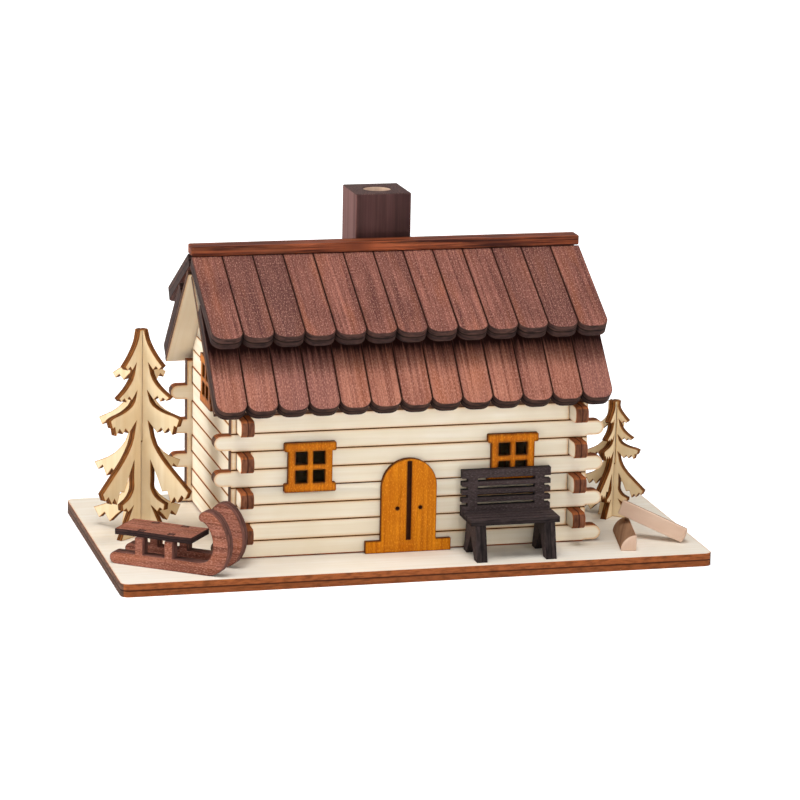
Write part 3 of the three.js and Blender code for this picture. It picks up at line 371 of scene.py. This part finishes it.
def grained_wood(
    name,
    pale,
    dark,
    streak,
    roughness,
    contrast=1.0,
    thickness=0.0,
    blush=None,
    boards=None,
    pores=None,
    gathered=None,
    singed=None,
):
    """Wood with streaks along its grain and clouds of tone. A solid block has a thickness, so that its sides
    are streaked too. Where given: warm patches (colour, share), boards of differing tone (width, tint), pores
    (pale, dark, size), painted shade that darkens the wood above a height (colour, heights where it starts
    and is full) and a singed outline (colour, share, reach)"""
    known = bpy.data.materials.get(name)
    if known:
        return known
    material, tree, shader, sheet = new_material(name)
    # A pale and a dark streak, in millimetres
    pair = 2 * streak / MM
    stretch = (1 / (STREAK_STRETCH * pair), 1 / pair, thickness / MM / pair)
    streaks = speckle(tree, sheet, stretch, STREAK_DETAIL, STREAK_FINENESS)
    spread = STREAK_SPREAD / contrast
    streaks = add(
        tree,
        "ShaderNodeMapRange",
        {"Value": streaks, "From Min": MIDDLE - spread, "From Max": MIDDLE + spread},
    ).outputs[0]
    clouds = speckle(tree, sheet, (1 / CLOUD, 1 / CLOUD, 1 / CLOUD), CLOUD_DETAIL)
    coats = [(streaks, WHOLE, pale), (clouds, CLOUDS, dark)]
    height = streaks
    if blush:
        blush_colour, most = blush
        patches = speckle(tree, sheet, (1 / PATCH_LENGTH, 1 / PATCH_WIDTH, 1), PATCH_DETAIL)
        coats.append((patches, PATCHES._replace(share=most), blush_colour))
    if boards:
        board_width, tint = boards
        across = add(tree, "ShaderNodeSeparateXYZ", {"Vector": sheet}).outputs["Y"]
        board = add(tree, "ShaderNodeMath", {0: across, 1: board_width / MM}, operation="DIVIDE").outputs[0]
        board = add(tree, "ShaderNodeMath", {0: board}, operation="FLOOR").outputs[0]
        chance = add(tree, "ShaderNodeTexWhiteNoise", {"W": board}, noise_dimensions="1D").outputs["Value"]
        coats.append((chance, BOARD_TINTS, tint))
    if pores:
        pore_pale, pore_dark, size = pores
        scale = MM / size
        dots = speckle(tree, sheet, (scale / PORE_STRETCH, scale, thickness / size), PORE_DETAIL)
        coats += [(dots, PALE_PORES, pore_pale), (dots, DARK_PORES, pore_dark)]
        height = add(tree, "ShaderNodeMath", {0: streaks, 1: dots}, operation="ADD").outputs[0]
    # Painted shade, darker above a height
    if gathered:
        eave_shade_colour, start, full = gathered
        place = add(tree, "ShaderNodeTexCoord").outputs["Object"]
        level = add(tree, "ShaderNodeSeparateXYZ", {"Vector": place}).outputs["Z"]
        # The painted shade reaches further down along dark streaks than along pale ones
        drop = RAGGED * (start - full)
        ragged = add(
            tree, "ShaderNodeMath", {0: streaks, 1: drop, 2: level}, operation="MULTIPLY_ADD"
        ).outputs[0]
        coats.append((ragged, Band(start + drop / 2, full + drop / 2), eave_shade_colour))
    if singed:
        singed_colour, most, reach = singed
        # Rays sent into the wood show how near a cut is. The singed band fades inwards and breaks up along it
        clear = add(
            tree,
            "ShaderNodeAmbientOcclusion",
            {"Distance": reach},
            inside=True,
            only_local=True,
            samples=SINGE_RAYS,
        ).outputs["AO"]
        uneven = add(
            tree, "ShaderNodeMapRange", {"Value": streaks, "To Min": most, "To Max": SINGE_UNEVEN * most}
        ).outputs[0]
        coats.append((clear, NEAR_CUT._replace(share=uneven), singed_colour))
    rough = add(
        tree,
        "ShaderNodeMapRange",
        {"Value": streaks, "To Min": roughness + ROUGHER, "To Max": roughness - SMOOTHER},
    ).outputs[0]
    relief = add(
        tree, "ShaderNodeBump", {"Height": height, "Strength": RELIEF, "Distance": GRAIN_RELIEF}
    ).outputs["Normal"]
    tree.links.new(coated(tree, dark, coats), shader.inputs["Base Color"])
    tree.links.new(rough, shader.inputs["Roughness"])
    tree.links.new(relief, shader.inputs["Normal"])
    shader.inputs["Specular IOR Level"].default_value = WOOD_GLOSS
    return material


def cut_edge(name, ply, line, soot):
    """Laser-cut plywood edge: two plies, the back one darker, the glue line between them, and streaks of char
    along the plies"""
    known = bpy.data.materials.get(name)
    if known:
        return known
    material, tree, shader, sheet = new_material(name)
    depth = add(tree, "ShaderNodeSeparateXYZ", {"Vector": sheet}).outputs["Z"]
    aside = add(tree, "ShaderNodeMath", {0: depth, 1: MIDDLE}, operation="SUBTRACT").outputs[0]
    aside = add(tree, "ShaderNodeMath", {0: aside}, operation="ABSOLUTE").outputs[0]
    charred = speckle(tree, sheet, (1 / CHAR_STREAK, 1 / CHAR_STREAK, CHAR_LAYERS), CHAR_DETAIL)
    coats = ((depth, BACK_PLY, soot), (charred, CHAR, soot), (aside, GLUE_LINE, line))
    relief = add(
        tree, "ShaderNodeBump", {"Height": charred, "Strength": RELIEF, "Distance": CHAR_RELIEF}
    ).outputs["Normal"]
    tree.links.new(coated(tree, ply, coats), shader.inputs["Base Color"])
    tree.links.new(relief, shader.inputs["Normal"])
    shader.inputs["Roughness"].default_value = EDGE_ROUGHNESS
    shader.inputs["Specular IOR Level"].default_value = EDGE_GLOSS
    return material


# Pieces

pieces_made = []


def sheet_role(face, axes, top, bottom, engraving):
    """Which part of a laser-cut sheet a face is: face, rim, groove, end or edge"""
    along, _, out = axes
    lean = abs(face.normal.dot(out))
    depths = [top - out.dot(vert.co) for vert in face.verts]
    if lean > FACING:
        on_skin = max(depths) < SKIN or min(depths) > top - bottom - SKIN
        return "face" if on_skin else "groove"
    if lean > 1 - ENDWISE:
        return "rim"
    if max(depths) < engraving:
        return "groove"
    return "end" if abs(face.normal.dot(along)) > ENDWISE else "edge"


class Finish(NamedTuple):
    """The woods of a piece by the role of its faces, and how the faces are worked"""

    woods: dict
    chamfer: float  # width of the worn corners
    engraving: float = 0  # how deep the engraved lines may be
    foot: float = 0  # width of the worn corners along the underside
    period: float = PLAIN_BOARD  # width of the boards that the pattern follows
    role: Callable = sheet_role


def sheet_axes(mesh, facing, grain):
    """Unit vectors along a sheet's grain, across it and out of its main face on the side that is asked for"""
    sums = {}
    for face in mesh.faces:
        key = tuple(round(part, ALIKE) for part in face.normal)
        sums[key] = sums.get(key, Vector()) + face.normal * face.calc_area()
    wanted = Vector(facing).normalized()
    out = max(sums.values(), key=lambda total: total.length * max(0, total.normalized().dot(wanted)))
    out = out.normalized()
    along = Vector(grain)
    along = (along - out * along.dot(out)).normalized()
    return along, out.cross(along), out


def wear(mesh, edges, width):
    """Wears corners down to a flat of this width"""
    bmesh.ops.bevel(
        mesh,
        geom=edges,
        offset=width,
        offset_type="OFFSET",
        segments=1,
        profile=0.5,
        affect="EDGES",
        clamp_overlap=True,
        material=-1,
    )
    mesh.normal_update()


def finished(node, body, facing, grain, finish):
    """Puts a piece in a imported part's place: its shape with worn corners, its wood by role, and the attribute
    sheet, which holds millimetres along and across the grain and the share of the depth"""
    mesh = bmesh.new()
    mesh.from_mesh(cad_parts[node].data)
    bmesh.ops.remove_doubles(mesh, verts=mesh.verts, dist=WELD)
    bmesh.ops.dissolve_limit(mesh, angle_limit=FLAT, verts=mesh.verts, edges=mesh.edges)
    mesh.normal_update()
    axes = sheet_axes(mesh, facing, grain)
    along, across, out = axes
    levels = [out.dot(vert.co) for vert in mesh.verts]
    top, bottom = max(levels), min(levels)
    if finish.foot:
        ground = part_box(node)[0].z + SKIN
        feet = [edge for edge in mesh.edges if all(vert.co.z < ground for vert in edge.verts)]
        wear(mesh, feet, finish.foot)
    roles = {face: finish.role(face, axes, top, bottom, finish.engraving) for face in mesh.faces}
    corners = [
        edge
        for edge in mesh.edges
        if edge.calc_face_angle() > SHARP and "groove" not in [roles[face] for face in edge.link_faces]
    ]
    wear(mesh, corners, finish.chamfer)
    used = list(dict.fromkeys(finish.woods.values()))
    for face in mesh.faces:
        role = finish.role(face, axes, top, bottom, finish.engraving)
        face.material_index = used.index(finish.woods[role])
    made = bpy.data.meshes.new(f"{node}_finished")
    mesh.to_mesh(made)
    mesh.free()
    made.shade_smooth()
    made.set_sharp_from_angle(angle=SHARP)
    for wood in used:
        made.materials.append(wood)
    # Each piece takes its pattern from another place, a whole number of boards away
    turn = len(pieces_made)
    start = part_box(node)[0]
    values = []
    for vert in made.vertices:
        offset = vert.co - start
        values.append(offset.dot(along) / MM + turn * PIECE_SHIFT)
        values.append((offset.dot(across) + turn * PIECE_BOARDS * finish.period) / MM)
        values.append((top - vert.co.dot(out)) / (top - bottom))
    made.attributes.new("sheet", "FLOAT_VECTOR", "POINT").data.foreach_set("vector", values)
    piece = bpy.data.objects.new(made.name, made)
    bpy.context.scene.collection.objects.link(piece)
    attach(piece, body)
    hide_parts(node)
    pieces_made.append(piece)


def sheet_woods(face, edge, end=None, groove=None):
    """Woods of a laser-cut sheet by role"""
    return {"face": face, "rim": edge, "edge": edge, "end": end or edge, "groove": groove or edge}


def looks(context):
    """The colours and the sizes that the user can change"""
    return context.scene.smoker_colours, context.scene.smoker_sizes


def bare_edges(colours):
    """Bare plywood's cut edge, its end grain and its engraved lines"""
    # Burnt along the grain: red-brown plies with a dark glue line
    edge = cut_edge("plywood, laser-cut edge", colours.edge, colours.edge_line, colours.edge_soot)
    # Burnt across the grain: greyer and darker
    end = cut_edge("plywood, laser-cut end grain", colours.end, colours.end_line, colours.end_soot)
    # Engraved line: evenly burnt
    groove = cut_edge("plywood, engraved seam", colours.seam, colours.seam, colours.edge_soot)
    return edge, end, groove


class SMOKER_OT_base_board(bpy.types.Operator):
    """Finish the base board and the strips that keep the house in place"""

    bl_idname = "smoker.base_board"
    bl_label = "Base board"

    def execute(self, context):
        colours, sizes = looks(context)
        # Sanded bare veneer: almost white, with soft long streaks and a singed outline
        face = grained_wood(
            "poplar plywood, bare",
            colours.ply_pale,
            colours.ply_dark,
            sizes.ply_streak,
            roughness=0.66,
            singed=(colours.scorch, BASE_SINGE, sizes.singe),
        )
        finish = Finish(sheet_woods(face, *bare_edges(colours)), sizes.chamfer)
        for node in ("base_plate", "locating_strip_front", "locating_strip_back"):
            finished(node, "base", UP, RIGHT, finish)
        return {"FINISHED"}


class SMOKER_OT_burner(bpy.types.Operator):
    """Finish the burner plate under the house"""

    bl_idname = "smoker.burner"
    bl_label = "Burner plate"

    def execute(self, context):
        colours, sizes = looks(context)
        # Brushed steel: fine straight marks that change the sheen
        steel, tree, shader, sheet = new_material("steel, brushed")
        marks = speckle(tree, sheet, (1 / BRUSH_LENGTH, 1 / BRUSH_MARK, 1), BRUSH_DETAIL)
        least, most = STEEL_ROUGHNESS
        rough = add(tree, "ShaderNodeMapRange", {"Value": marks, "To Min": least, "To Max": most}).outputs[0]
        dimmed = tuple(part * BRUSH_DIM for part in colours.steel)
        tone = coated(tree, dimmed, [(marks, WHOLE, colours.steel)])
        tree.links.new(tone, shader.inputs["Base Color"])
        tree.links.new(rough, shader.inputs["Roughness"])
        shader.inputs["Metallic"].default_value = 1
        finish = Finish(sheet_woods(steel, steel), sizes.chamfer)
        finished("burner_plate", "base", UP, RIGHT, finish)
        return {"FINISHED"}


class SMOKER_OT_log_walls(bpy.types.Operator):
    """Finish the four log walls"""

    bl_idname = "smoker.log_walls"
    bl_label = "Log walls"

    def execute(self, context):
        colours, sizes = looks(context)
        # Bare veneer with engraved log seams: the burning has singed the veneer beside each cut
        face = grained_wood(
            "poplar plywood, engraved logs",
            colours.log_pale,
            colours.log_dark,
            sizes.ply_streak,
            roughness=0.66,
            singed=(colours.scorch, BARE_SINGE, sizes.singe),
        )
        edge, end, groove = bare_edges(colours)
        wall = Finish(
            sheet_woods(face, edge, end, groove),
            WALL_WEAR * sizes.chamfer,
            SEAM_DEPTH,
            foot=sizes.foot_chamfer,
            period=LOG_PITCH,
        )
        # The gables' log ends show brown plies, and their seams take a paler seam colour: painted light, as on
        # the brightly lit gables
        log_end = cut_edge(
            "plywood, laser-cut log end", colours.finger, colours.edge_line, colours.finger_soot
        )
        lit_gable_groove = cut_edge(
            "plywood, pale engraved seam", colours.gable_seam, colours.gable_seam, colours.edge
        )
        gable = wall._replace(woods=sheet_woods(face, edge, log_end, lit_gable_groove))
        sides = {
            "front_wall": (FRONT, RIGHT, wall),
            "back_wall": (BACK, LEFT, wall),
            "left_gable": (LEFT, FRONT, gable),
            "right_gable": (RIGHT, BACK, gable),
        }
        for node, (facing, grain, finish) in sides.items():
            finished(node, "house", facing, grain, finish)
        return {"FINISHED"}


class SMOKER_OT_door_and_windows(bpy.types.Operator):
    """Finish the double door and the four windows"""

    bl_idname = "smoker.door_and_windows"
    bl_label = "Door and windows"

    def execute(self, context):
        colours, sizes = looks(context)
        # Orange wood stain: warm, satin, with upright streaks and flecks. The door has a thin burnt outline,
        # and the windows' narrow bars are singed further in
        stains = {
            "door": (colours.door_pale, colours.door_dark, sizes.trim_singe),
            "window": (colours.window_pale, colours.window_dark, sizes.window_singe),
        }
        faces = {
            kind: grained_wood(
                f"beech veneer, orange stain, {kind}",
                pale,
                dark,
                sizes.stain_streak,
                roughness=0.5,
                contrast=1.3,
                pores=(colours.orange_fleck, dark, sizes.pore),
                singed=(colours.orange_scorch, ORANGE_SINGE, reach),
            )
            for kind, (pale, dark, reach) in stains.items()
        }
        # Its cut edges are burnt under the stain
        edge = cut_edge(
            "beech veneer, burnt orange edge", colours.orange_edge, colours.orange_soot, colours.orange_soot
        )
        # Engraved slot and knob holes: almost black
        groove = cut_edge(
            "beech veneer, engraved slot", colours.orange_soot, colours.edge_line, colours.edge_line
        )
        facings = {
            "door": FRONT,
            "window_front_left": FRONT,
            "window_front_right": FRONT,
            "window_left_gable": LEFT,
            "window_right_gable": RIGHT,
        }
        for node, facing in facings.items():
            face = faces[node.split("_")[0]]
            finish = Finish(sheet_woods(face, edge, groove=groove), sizes.chamfer, DOOR_ENGRAVING)
            finished(node, "house", facing, UP, finish)
        return {"FINISHED"}


class SMOKER_OT_roof(bpy.types.Operator):
    """Finish the roof panels, the shingle sheets and the ridge strip"""

    bl_idname = "smoker.roof"
    bl_label = "Roof"

    def execute(self, context):
        colours, sizes = looks(context)
        # Panels of the walls' bare veneer, their cuts burnt as dark as end grain
        veneer = bpy.data.materials["poplar plywood, engraved logs"]
        _, burnt, _ = bare_edges(colours)
        panel = Finish(sheet_woods(veneer, burnt), sizes.chamfer)
        # Cut edge under stain: brown and charcoal plies and a black glue line
        edge = cut_edge(
            "okoume plywood, stained cut edge",
            colours.shingle_edge,
            colours.shingle_line,
            colours.shingle_soot,
        )
        # Engraved line between shingles: burnt through the stain
        groove = cut_edge(
            "okoume plywood, engraved seam", colours.edge_line, colours.shingle_line, colours.shingle_line
        )
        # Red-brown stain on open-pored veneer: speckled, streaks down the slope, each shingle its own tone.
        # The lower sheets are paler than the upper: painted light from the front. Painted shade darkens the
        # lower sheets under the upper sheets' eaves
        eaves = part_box("upper_shingles_front")[0].z
        painted_eave_shade = (colours.gathered, eaves - EAVE_SHADE_REACH, eaves - EAVE_SHADE_FULL * EAVE_SHADE_REACH)
        stains = {
            "lower": (colours.lower_pale, colours.lower_dark, colours.lower_tint, painted_eave_shade),
            "upper": (colours.upper_pale, colours.upper_dark, colours.upper_tint, None),
        }
        for place, side in (("front", -1), ("back", 1)):
            outward = (0, side, 1)
            downhill = (0, side, -1)
            finished(f"roof_panel_{place}", "house", outward, downhill, panel)
            for tier, (pale, dark, tint, gathered) in stains.items():
                face = grained_wood(
                    f"okoume plywood, {tier} shingle stain",
                    pale,
                    dark,
                    sizes.stain_streak,
                    roughness=0.62,
                    contrast=1.4,
                    blush=(colours.blush, STAIN_BLUSH),
                    boards=(SHINGLE_WIDTH, tint),
                    pores=(colours.pore_pale, colours.pore_dark, sizes.pore),
                    gathered=gathered,
                    singed=(colours.pore_dark, STAIN_SINGE, sizes.stain_singe),
                )
                woods = sheet_woods(face, edge, groove=groove)
                shingles = Finish(woods, sizes.chamfer, SEAM_DEPTH, period=SHINGLE_WIDTH)
                finished(f"{tier}_shingles_{place}", "house", outward, downhill, shingles)
        # Ridge strip: red-brown stain under a dull lacquer, dark streaks along the ridge
        ridge = grained_wood(
            "beech strip, red-brown lacquer",
            colours.ridge_pale,
            colours.ridge_dark,
            sizes.stain_streak,
            roughness=0.6,
            contrast=3,
            thickness=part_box("ridge_strip")[1].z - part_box("ridge_strip")[0].z,
            blush=(colours.blush, RIDGE_BLUSH),
        )
        strip = Finish(sheet_woods(ridge, ridge), sizes.block_chamfer)
        finished("ridge_strip", "house", UP, RIGHT, strip)
        return {"FINISHED"}


def chimney_role(face, axes, *_):
    """A chimney face is bore, end grain, side, or front or back"""
    along, across = axes[:2]
    low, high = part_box("chimney")
    offset = face.calc_center_median() - (low + high) / 2
    within = BORE_WITHIN * (high - low)
    inside = abs(offset.x) < within.x and abs(offset.y) < within.y
    upright = abs(face.normal.dot(along))
    if inside and upright < 1 - ENDWISE:
        return "bore"
    if upright > ENDWISE:
        return "end"
    return "side" if abs(face.normal.dot(across)) > ENDWISE else "face"


class SMOKER_OT_chimney(bpy.types.Operator):
    """Finish the chimney block with its smoke bore"""

    bl_idname = "smoker.chimney"
    bl_label = "Chimney"

    def execute(self, context):
        colours, sizes = looks(context)
        low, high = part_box("chimney")
        block = high.y - low.y
        # Solid block in dark stain: upright streaks, matt, darkest on the front. The sides are paler; part of
        # that is painted light from the left lamp
        front, side = (
            grained_wood(name, pale, dark, sizes.block_streak, roughness=0.6, thickness=block)
            for name, pale, dark in (
                ("beech block, dark stain", colours.chimney_pale, colours.chimney_dark),
                ("beech block, worn dark stain", colours.chimney_side, colours.chimney_side_dark),
            )
        )
        # End grain takes the stain in fine dots
        end = grained_wood(
            "beech block, dark end grain",
            colours.chimney_end,
            colours.chimney_dark,
            END_GRAIN * sizes.pore,
            roughness=0.7,
            thickness=block,
            pores=(colours.chimney_side, colours.chimney_dark, sizes.pore),
        )
        # Drilled after staining: bare wood
        bore = grained_wood(
            "beech block, bare bore", colours.bore, colours.bore_dark, sizes.stain_streak, roughness=0.75
        )
        woods = {"face": front, "side": side, "end": end, "bore": bore}
        finish = Finish(woods, sizes.block_chamfer, role=chimney_role)
        finished("chimney", "house", FRONT, UP, finish)
        return {"FINISHED"}


class SMOKER_OT_trees(bpy.types.Operator):
    """Finish the two trees of halved plates"""

    bl_idname = "smoker.trees"
    bl_label = "Trees"

    def execute(self, context):
        colours, sizes = looks(context)
        # Thin bare plywood: a little yellower than the walls
        face = grained_wood(
            "birch plywood, bare",
            colours.tree_pale,
            colours.tree_dark,
            sizes.ply_streak,
            roughness=0.68,
            singed=(colours.scorch, BARE_SINGE, sizes.trim_singe),
        )
        # Narrow cuts around the branches: burnt dark
        edge = cut_edge(
            "birch plywood, laser-cut edge", colours.tree_edge, colours.edge_line, colours.tree_soot
        )
        finish = Finish(sheet_woods(face, edge), sizes.chamfer)
        for side in ("left", "right"):
            finished(f"{side}_tree_plate_a", "base", (-1, -1, 0), UP, finish)
            finished(f"{side}_tree_plate_b", "base", (1, -1, 0), UP, finish)
        return {"FINISHED"}


class SMOKER_OT_sled(bpy.types.Operator):
    """Finish the sled's runners and seat"""

    bl_idname = "smoker.sled"
    bl_label = "Sled"

    def execute(self, context):
        colours, sizes = looks(context)
        # Red-brown stain, as on the roof but in one piece
        face = grained_wood(
            "okoume plywood, sled stain",
            colours.sled_pale,
            colours.sled_dark,
            sizes.stain_streak,
            roughness=0.62,
            contrast=1.8,
            blush=(colours.blush, STAIN_BLUSH),
            pores=(colours.pore_pale, colours.pore_dark, sizes.pore),
            singed=(colours.pore_dark, STAIN_SINGE, sizes.stain_singe),
        )
        # Brown plies along the runners' cut edges
        edge = cut_edge("okoume plywood, sled edge", colours.sled_edge, colours.sled_soot, colours.sled_soot)
        # The thin seat's edges are burnt almost black
        burnt = cut_edge(
            "okoume plywood, seat edge", colours.sled_soot, colours.shingle_line, colours.shingle_soot
        )
        runner = Finish(sheet_woods(face, edge), sizes.chamfer)
        seat = runner._replace(woods=sheet_woods(face, burnt))
        ahead = (math.cos(SLED_HEADING), math.sin(SLED_HEADING), 0)
        near_side = (math.sin(SLED_HEADING), -math.cos(SLED_HEADING), 0)
        finished("sled_runner_near", "base", near_side, ahead, runner)
        finished("sled_runner_far", "base", near_side, ahead, runner)
        finished("sled_seat", "base", UP, ahead, seat)
        return {"FINISHED"}


class SMOKER_OT_bench(bpy.types.Operator):
    """Finish the bench"""

    bl_idname = "smoker.bench"
    bl_label = "Bench"

    def execute(self, context):
        colours, sizes = looks(context)
        # Charcoal stain: near black, with paler grain showing
        face = grained_wood(
            "beech veneer, charcoal stain",
            colours.bench_pale,
            colours.bench_dark,
            sizes.stain_streak,
            roughness=0.6,
            pores=(colours.bench_fleck, colours.bench_dark, sizes.pore),
        )
        # Its cut edges: as dark, streaked with black char
        edge = cut_edge(
            "beech veneer, charcoal edge", colours.bench_edge, colours.shingle_line, colours.shingle_line
        )
        finish = Finish(sheet_woods(face, edge), sizes.chamfer, SEAM_DEPTH)
        finished("bench_back", "base", FRONT, RIGHT, finish)
        finished("bench_seat", "base", UP, RIGHT, finish)
        finished("bench_leg_left", "base", LEFT, UP, finish)
        finished("bench_leg_right", "base", RIGHT, UP, finish)
        return {"FINISHED"}


def billet_role(face, axes, *_):
    """A billet's face is end grain, a split face or the round side"""
    if abs(face.normal.dot(axes[0])) > ENDWISE:
        return "end"
    least, most = BILLET_FACET
    return "round" if least < face.calc_area() < most else "face"


def longest_edge(node):
    """Direction of a part's longest edge"""
    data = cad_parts[node].data
    ends = [(data.vertices[a].co, data.vertices[b].co) for a, b in (edge.vertices for edge in data.edges)]
    first, second = max(ends, key=lambda pair: (pair[1] - pair[0]).length)
    return (second - first).normalized()


class SMOKER_OT_firewood(bpy.types.Operator):
    """Finish the split billets"""

    bl_idname = "smoker.firewood"
    bl_label = "Firewood"

    def execute(self, context):
        colours, sizes = looks(context)
        # Split bare wood: pinkish, with fine fibres along the billet
        face = grained_wood(
            "beech, split", colours.split_pale, colours.split_dark, sizes.stain_streak, roughness=0.75
        )
        # Sawn end: finer and rougher
        end = grained_wood(
            "beech, sawn end", colours.split_pale, colours.split_dark, END_GRAIN * sizes.pore, roughness=0.8
        )
        # Round side: darker and rougher
        bark = grained_wood(
            "beech, round side", colours.bark_pale, colours.bark_dark, sizes.stain_streak, roughness=0.8
        )
        woods = {"face": face, "end": end, "round": bark}
        finish = Finish(woods, sizes.block_chamfer, role=billet_role)
        for node in ("firewood_lower", "firewood_upper"):
            finished(node, "base", UP, longest_edge(node), finish)
        return {"FINISHED"}


class SMOKER_OT_stage(bpy.types.Operator):
    """Set up the floor, the light and the camera"""

    bl_idname = "smoker.stage"
    bl_label = "Stage"

    def execute(self, context):
        scene = context.scene
        stage = scene.smoker_stage
        scene.view_settings.view_transform = "Standard"
        self.lay_floor(scene, stage)
        self.light(scene, stage)
        self.set_camera(scene, stage)
        return {"FINISHED"}

    def seen(self, tree):
        """Whether a ray comes from the camera, by way of a reflection or glass or straight"""
        ray = add(tree, "ShaderNodeLightPath").outputs
        direct = add(
            tree, "ShaderNodeMath", {0: ray["Is Camera Ray"], 1: ray["Is Glossy Ray"]}, operation="MAXIMUM"
        ).outputs[0]
        return add(
            tree, "ShaderNodeMath", {0: direct, 1: ray["Is Transmission Ray"]}, operation="MAXIMUM"
        ).outputs[0]

    def lay_floor(self, scene, stage):
        # Matt paper, lifted to white for the eye: more where the lamps don't reach, so it keeps the shadow
        paper = bpy.data.materials.new("paper, white")
        paper.use_nodes = True
        tree = paper.node_tree
        tree.nodes.clear()
        place = add(tree, "ShaderNodeTexCoord").outputs["Object"]
        away = add(tree, "ShaderNodeVectorMath", {0: place}, operation="LENGTH").outputs["Value"]
        lift = add(
            tree,
            "ShaderNodeMapRange",
            {"Value": away, "From Min": NEAR, "From Max": FAR, "To Min": NEAR_LIFT, "To Max": FAR_LIFT},
        ).outputs[0]
        glow = add(tree, "ShaderNodeMath", {0: self.seen(tree), 1: lift}, operation="MULTIPLY").outputs[0]
        white = add(tree, "ShaderNodeEmission", {"Strength": glow}).outputs[0]
        matt = add(tree, "ShaderNodeBsdfDiffuse", {"Color": opaque(linear(PAPER))}).outputs[0]
        both = add(tree, "ShaderNodeAddShader", {0: white, 1: matt}).outputs[0]
        add(tree, "ShaderNodeOutputMaterial", {"Surface": both})
        floor = bpy.data.meshes.new("floor")
        mesh = bmesh.new()
        bmesh.ops.create_grid(mesh, x_segments=1, y_segments=1, size=stage.floor_radius)
        mesh.to_mesh(floor)
        mesh.free()
        floor.materials.append(paper)
        laid = bpy.data.objects.new("floor", floor)
        scene.collection.objects.link(laid)

    def light(self, scene, stage):
        world = bpy.data.worlds.new("white studio")
        world.use_nodes = True
        scene.world = world
        tree = world.node_tree
        strength = add(
            tree, "ShaderNodeMapRange", {"Value": self.seen(tree), "To Min": stage.sky, "To Max": 1}
        ).outputs[0]
        background = tree.nodes["Background"]
        background.inputs["Color"].default_value = (1, 1, 1, 1)
        tree.links.new(strength, background.inputs["Strength"])
        for name, lamp in LAMPS.items():
            data = bpy.data.lights.new(f"{name}_lamp", "AREA")
            data.energy = getattr(stage, f"{name}_power")
            data.size = lamp.side
            data.spread = lamp.fan
            hung = bpy.data.objects.new(data.name, data)
            hung.location = lamp.place
            hung.rotation_euler = (Vector(lamp.aim) - hung.location).to_track_quat("-Z", "Y").to_euler()
            scene.collection.objects.link(hung)

    def set_camera(self, scene, stage):
        turn, height = stage.azimuth, stage.elevation
        ahead = Vector(
            (-math.sin(turn) * math.cos(height), math.cos(turn) * math.cos(height), -math.sin(height))
        )
        level = Vector((math.cos(turn), math.sin(turn), 0))
        upright = level.cross(ahead)
        right = level * math.cos(stage.roll) + upright * math.sin(stage.roll)
        above = upright * math.cos(stage.roll) - level * math.sin(stage.roll)
        data = bpy.data.cameras.new("camera")
        data.lens = stage.lens
        data.clip_end = CLIP_END
        camera = bpy.data.objects.new("camera", data)
        place = right * stage.aim_right + above * stage.aim_up - ahead * stage.distance
        camera.matrix_world = Matrix.Translation(place) @ Matrix((right, above, -ahead)).transposed().to_4x4()
        scene.collection.objects.link(camera)
        scene.camera = camera


class SMOKER_PT_sidebar(bpy.types.Panel):
    """Lists the steps that finish the smoker house"""

    bl_idname = "SMOKER_PT_sidebar"
    bl_label = "Incense smoker house"
    bl_space_type = "VIEW_3D"
    bl_region_type = "UI"
    bl_category = "Smoker"

    def draw(self, context):
        for operator in OPERATORS:
            self.layout.operator(operator.bl_idname)
        for group in (context.scene.smoker_sizes, context.scene.smoker_colours, context.scene.smoker_stage):
            for name in group.__annotations__:
                self.layout.prop(group, name)


OPERATORS = (
    SMOKER_OT_base_board,
    SMOKER_OT_burner,
    SMOKER_OT_log_walls,
    SMOKER_OT_door_and_windows,
    SMOKER_OT_roof,
    SMOKER_OT_chimney,
    SMOKER_OT_trees,
    SMOKER_OT_sled,
    SMOKER_OT_bench,
    SMOKER_OT_firewood,
    SMOKER_OT_stage,
)
GROUPS = (SmokerColours, SmokerSizes, SmokerStage)


def register():
    for made in (*GROUPS, *OPERATORS, SMOKER_PT_sidebar):
        bpy.utils.register_class(made)
    bpy.types.Scene.smoker_colours = PointerProperty(type=SmokerColours)
    bpy.types.Scene.smoker_sizes = PointerProperty(type=SmokerSizes)
    bpy.types.Scene.smoker_stage = PointerProperty(type=SmokerStage)


def unregister():
    del bpy.types.Scene.smoker_stage
    del bpy.types.Scene.smoker_sizes
    del bpy.types.Scene.smoker_colours
    for made in (SMOKER_PT_sidebar, *reversed(OPERATORS), *reversed(GROUPS)):
        bpy.utils.unregister_class(made)


def main():
    register()
    bpy.ops.smoker.base_board()
    bpy.ops.smoker.burner()
    bpy.ops.smoker.log_walls()
    bpy.ops.smoker.door_and_windows()
    bpy.ops.smoker.roof()
    bpy.ops.smoker.chimney()
    bpy.ops.smoker.trees()
    bpy.ops.smoker.sled()
    bpy.ops.smoker.bench()
    bpy.ops.smoker.firewood()
    bpy.ops.smoker.stage()
    bpy.context.view_layer.update()


if __name__ == "__main__":
    main()
